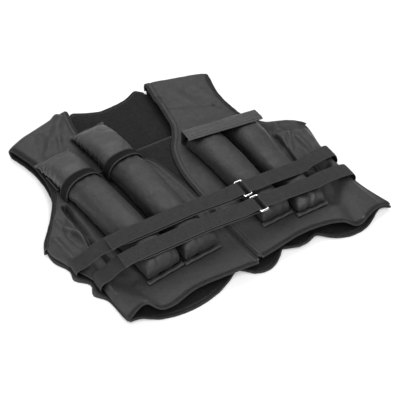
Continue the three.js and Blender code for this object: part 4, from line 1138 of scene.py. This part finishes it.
def level_on(pocket, y):
    """Level of the middle of a strap that lies on a pocket."""
    along = (pocket["mouth"][1] - y - webbing_width / 2) / pocket["length"]
    return pocket_base + pocket["height"] * height_at(pocket, along) + seam_gap + webbing_thickness / 2


def side_route(side, pocket, level_z, y, side_y):
    """A strap's way from the top of a pocket over the loose side cloth and down to the seam at the side."""
    grid = panel_grids[side][:rows_below_chest]
    outwards = panels[side]["outwards"]
    middle_x, half_width = pocket_under(pocket, y)
    edge_row = int(np.argmin(np.abs(grid[:, -1, 1] - side_y)))
    edge_x = grid[edge_row, -1, 0]

    def over(x):
        near_y = np.abs(grid[..., 1] - side_y) < webbing_width / 2
        near_x = np.abs(grid[..., 0] - x) < 5
        return grid[..., 2][near_y & near_x].max() + strap_lift + webbing_thickness / 2

    brow_x = edge_x - outwards * brow_inset
    out_x = edge_x + outwards * side_bulge
    shoulder = np.array([middle_x + outwards * half_width * 0.6, y, level_z])
    brow = np.array([brow_x, y + (side_y - y) * 0.9, over(brow_x) + slack[side] / 2])
    route = [shoulder]
    for share in (0.3, 0.7):
        hang = shoulder + (brow - shoulder) * share
        hang[2] += slack[side] * math.sin(share * math.pi)
        route.append(hang)
    route += [
        brow,
        np.array([edge_x - outwards * strap_lift, side_y, over(edge_x - outwards * 7)]),
        np.array([out_x, side_y, side_seam_level + 9]),
        np.array([out_x + outwards * 0.5, side_y, side_seam_level + 4]),
        np.array([out_x - outwards * 2, side_y, side_seam_level]),
    ]
    return route


def smooth_line(points, step):
    """A smooth line through some points, with its own points one step apart."""
    points = np.array(points)
    places = np.linspace(0, len(points) - 1, len(points) * 12)
    fine = np.stack([curve_through(points[:, i], places) for i in range(3)], axis=1)
    return even_line(fine, step)


def strap_piece(name, path, across, node):
    """Webbing along a line, with its edges rounded; across is the direction of its width."""
    path = np.asarray(path)
    run = np.gradient(path, axis=0)
    normal = np.cross(run, across)
    normal /= np.linalg.norm(normal, axis=1, keepdims=True)
    outline = flat_round(webbing_width, webbing_thickness, 20)
    sections = np.stack([
        p + np.outer(outline[:, 0], across) + np.outer(outline[:, 1], n) for p, n in zip(path, normal)
    ])
    piece = loft_piece(name, sections, webbing)
    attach(piece, "root")
    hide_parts(node)


def bend_round(x, y, z, outwards):
    """Half a turn of webbing round a ring's bar, from under it to over it."""
    turn = np.linspace(0, np.pi, 17)
    around = x + outwards * bend_radius * np.sin(turn)
    return np.stack([around, np.full(len(turn), y), z - bend_radius * np.cos(turn)], axis=1)


strap_frames = {}
for name, strap in strap_rows.items():
    ring_x, ring_y = ring_rows[name]["x"], ring_rows[name]["y"]
    left_level = level_on(pockets[2], ring_y)
    right_level = level_on(pockets[0], ring_y)
    outer_level = level_on(pockets[3], ring_y)
    ring_z = left_level + bend_radius
    free_x = strap["free_x"] * half_chest
    free_y = strap_lines[name]["free_up"] * body_length
    across = np.array([free_y - ring_y, ring_x - free_x, 0])
    across /= np.linalg.norm(across)

    def y_on(x):
        return ring_y + (free_y - ring_y) * (x - ring_x) / (free_x - ring_x)

    right_bar = ring_x - bar_offset
    inner_x, inner_half = pocket_under(pockets[1], ring_y)
    under = smooth_line(
        side_route("right", pockets[0], right_level, free_y, strap["right_up"] * body_length)[::-1]
        + [
            np.array([inner_x - inner_half * 0.6, y_on(inner_x), right_level]),
            np.array([inner_x + inner_half * 0.6, y_on(inner_x + inner_half), right_level]),
            np.array([right_bar - bend_radius, y_on(right_bar), left_level]),
        ],
        3.0,
    )
    outer_x, outer_half = pocket_under(pockets[0], ring_y)
    shoulder_x = outer_x - outer_half * 0.6
    above = [p + np.array([0, 0, layer]) for p in under[1:-6][::-1] if p[0] > shoulder_x]
    for share in np.linspace(0, 1, 16)[1:]:
        x = shoulder_x + (free_x - shoulder_x) * share
        above.append(np.array([x, y_on(x), right_level + layer - 4 * share**2]))
    bend = bend_round(right_bar, y_on(right_bar), ring_z, 1)
    path = np.concatenate([under, bend[1:], above])
    path = np.concatenate([path[:1], soften(path, 2, 0)[1:-1], path[-1:]])

    # The two layers of the right-hand part lie a little out of line with each other.
    turn_points = [0, len(under) - 12, len(under) + 8, len(under) + 34]
    aside = np.interp(np.arange(len(path)), turn_points, [-1, -1, 0, 1])
    path = path + across * (aside * layer_drift * (1 if across[1] > 0 else -1))[:, None]
    strap_piece(f"webbing_{name}_right", path, across, f"strap_{name}_right")

    left_bar = ring_x + bar_offset
    tail_x = left_bar + sewn_end
    side_y = strap["left_up"] * body_length
    tail = even_line([(tail_x, ring_y, left_level), (left_bar + ring_wire, ring_y, left_level)], 3.0)
    over_tail = [
        np.array([left_bar + bend_radius * 4, ring_y, left_level + layer]),
        np.array([tail_x, ring_y, left_level + layer]),
    ]
    crossing_y = side_y + (ring_y - side_y) * 0.9
    main = smooth_line(over_tail + side_route("left", pockets[3], outer_level, crossing_y, side_y), 3.0)
    path = np.concatenate([tail, bend_round(left_bar, ring_y, ring_z, -1), main])
    path = np.concatenate([path[:1], soften(path, 2, 0)[1:-1], path[-1:]])
    strap_piece(f"webbing_{name}_left", path, across, f"strap_{name}_left")
    strap_frames[name] = {
        "across": across, "ring": np.array([ring_x, ring_y, ring_z]), "tail_x": tail_x, "bar": left_bar,
        "top": left_level + layer + webbing_thickness / 2,
    }


# The rings: bent from 3.5 mm steel wire to a rectangle, polished and nickel plated.
chrome = bpy.data.materials.new("plated_wire")
chrome.use_nodes = True
chrome_shader = chrome.node_tree.nodes["Principled BSDF"]
chrome_shader.inputs["Metallic"].default_value = 1.0
chrome_shader.inputs["Roughness"].default_value = 0.16
mixed_shades(chrome, (0.86, 0.86, 0.87), 300.0, 0.05)
ring_corner = 3.0
ring_ends = 1.0
wire_sides = 14
for name, place in strap_frames.items():
    half_long = webbing_width / 2 + ring_ends + ring_wire / 2
    along_ring = np.array([place["across"][1], -place["across"][0], 0])
    outline = []
    for sx, sy in ((1, 1), (-1, 1), (-1, -1), (1, -1)):
        first = math.atan2(sy, sx) - math.pi / 4
        for turn in np.linspace(first, first + math.pi / 2, 7):
            u = sx * (bar_offset - ring_corner) + ring_corner * math.cos(turn)
            v = sy * (half_long - ring_corner) + ring_corner * math.sin(turn)
            outline.append(place["ring"] + along_ring * u + place["across"] * v)
    outline = np.array(outline)
    run = np.roll(outline, -1, axis=0) - np.roll(outline, 1, axis=0)
    run /= np.linalg.norm(run, axis=1, keepdims=True)
    out = np.cross(run, [0, 0, 1])
    turns = np.arange(wire_sides) * 2 * np.pi / wire_sides
    sections = np.stack([
        p + np.outer(np.cos(turns), o) * ring_wire / 2 + np.outer(np.sin(turns), [0, 0, 1]) * ring_wire / 2
        for p, o in zip(outline, out)
    ])
    index = np.arange(len(outline) * wire_sides).reshape(len(outline), wire_sides)
    after = np.roll(index, -1, axis=0)
    faces = np.stack([index, np.roll(index, -1, axis=1), np.roll(after, -1, axis=1), after], axis=2)
    ring = make_piece("wire_ring_" + name, sections.reshape(-1, 3), faces.reshape(-1, 4).tolist(), chrome)
    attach(ring, "root")
    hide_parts("ring_" + name)


# The stitches: rows of black polyester thread along the bindings, the closed flap, the pocket lips, the bag
# ends, the bands and the straps' sewn ends. Each is a short raised loop of thread, 2.6 mm long and half a
# millimetre thick, with a gap to the next one.
thread_finish = woven("thread", (0.03, 0.03, 0.031), 0.5, 0.0004, 0.0001, 0.2, 0.1, coordinates="Object")
stitch_pitch = 0.0036
stitch_size = (0.00028, 0.00028, 0.0013)


def stitching_tree():
    """Lays a row of stitches along every line of a mesh."""
    tree = bpy.data.node_groups.new("stitching", "GeometryNodeTree")
    tree.interface.new_socket("Lines", in_out="INPUT", socket_type="NodeSocketGeometry")
    pitch = tree.interface.new_socket("Pitch", in_out="INPUT", socket_type="NodeSocketFloat")
    finish = tree.interface.new_socket("Finish", in_out="INPUT", socket_type="NodeSocketMaterial")
    tree.interface.new_socket("Stitches", in_out="OUTPUT", socket_type="NodeSocketGeometry")
    nodes, links = tree.nodes, tree.links
    given, made = nodes.new("NodeGroupInput"), nodes.new("NodeGroupOutput")
    curve = nodes.new("GeometryNodeMeshToCurve")
    places = nodes.new("GeometryNodeCurveToPoints")
    places.mode = "LENGTH"
    stitch = nodes.new("GeometryNodeMeshUVSphere")
    stitch.inputs["Segments"].default_value = 6
    stitch.inputs["Rings"].default_value = 5
    stitch.inputs["Radius"].default_value = 1.0
    copies = nodes.new("GeometryNodeInstanceOnPoints")
    copies.inputs["Scale"].default_value = stitch_size
    whole = nodes.new("GeometryNodeRealizeInstances")
    painted = nodes.new("GeometryNodeSetMaterial")
    links.new(given.outputs["Lines"], curve.inputs["Mesh"])
    links.new(curve.outputs["Curve"], places.inputs["Curve"])
    links.new(given.outputs["Pitch"], places.inputs["Length"])
    links.new(places.outputs["Points"], copies.inputs["Points"])
    links.new(places.outputs["Rotation"], copies.inputs["Rotation"])
    links.new(stitch.outputs["Mesh"], copies.inputs["Instance"])
    links.new(copies.outputs["Instances"], whole.inputs["Geometry"])
    links.new(whole.outputs["Geometry"], painted.inputs["Geometry"])
    links.new(given.outputs["Finish"], painted.inputs["Material"])
    links.new(painted.outputs["Geometry"], made.inputs["Stitches"])
    return tree, pitch.identifier, finish.identifier


for place in strap_frames.values():
    across = place["across"]
    near_end, far_end = place["bar"] + 7, place["tail_x"] - 3
    span = webbing_width / 2 - 3
    thread_level = place["top"] + 0.15
    corners = [
        np.array([x, place["ring"][1], thread_level]) + across * s
        for x, s in ((near_end, span), (far_end, span), (far_end, -span), (near_end, -span))
    ]
    stitch_lines += [np.array([corners[i], corners[(i + 1) % 4]]) for i in range(4)]
    stitch_lines += [np.array([corners[0], corners[2]]), np.array([corners[1], corners[3]])]

line_mesh = bpy.data.meshes.new("stitches")
line_points, line_edges = [], []
for line in stitch_lines:
    first = len(line_points)
    line_points += lay_out(line)
    line_edges += [(first + i, first + i + 1) for i in range(len(line) - 1)]
line_mesh.from_pydata(line_points, line_edges, [])
stitches = bpy.data.objects.new("stitches", line_mesh)
scene.collection.objects.link(stitches)
tree, pitch_input, finish_input = stitching_tree()
sewing = stitches.modifiers.new("sewing", "NODES")
sewing.node_group = tree
sewing[pitch_input] = stitch_pitch
sewing[finish_input] = thread_finish
settle(stitches)
stitches.data.polygons.foreach_set("use_smooth", np.ones(len(stitches.data.polygons), bool))
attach(stitches, "root")
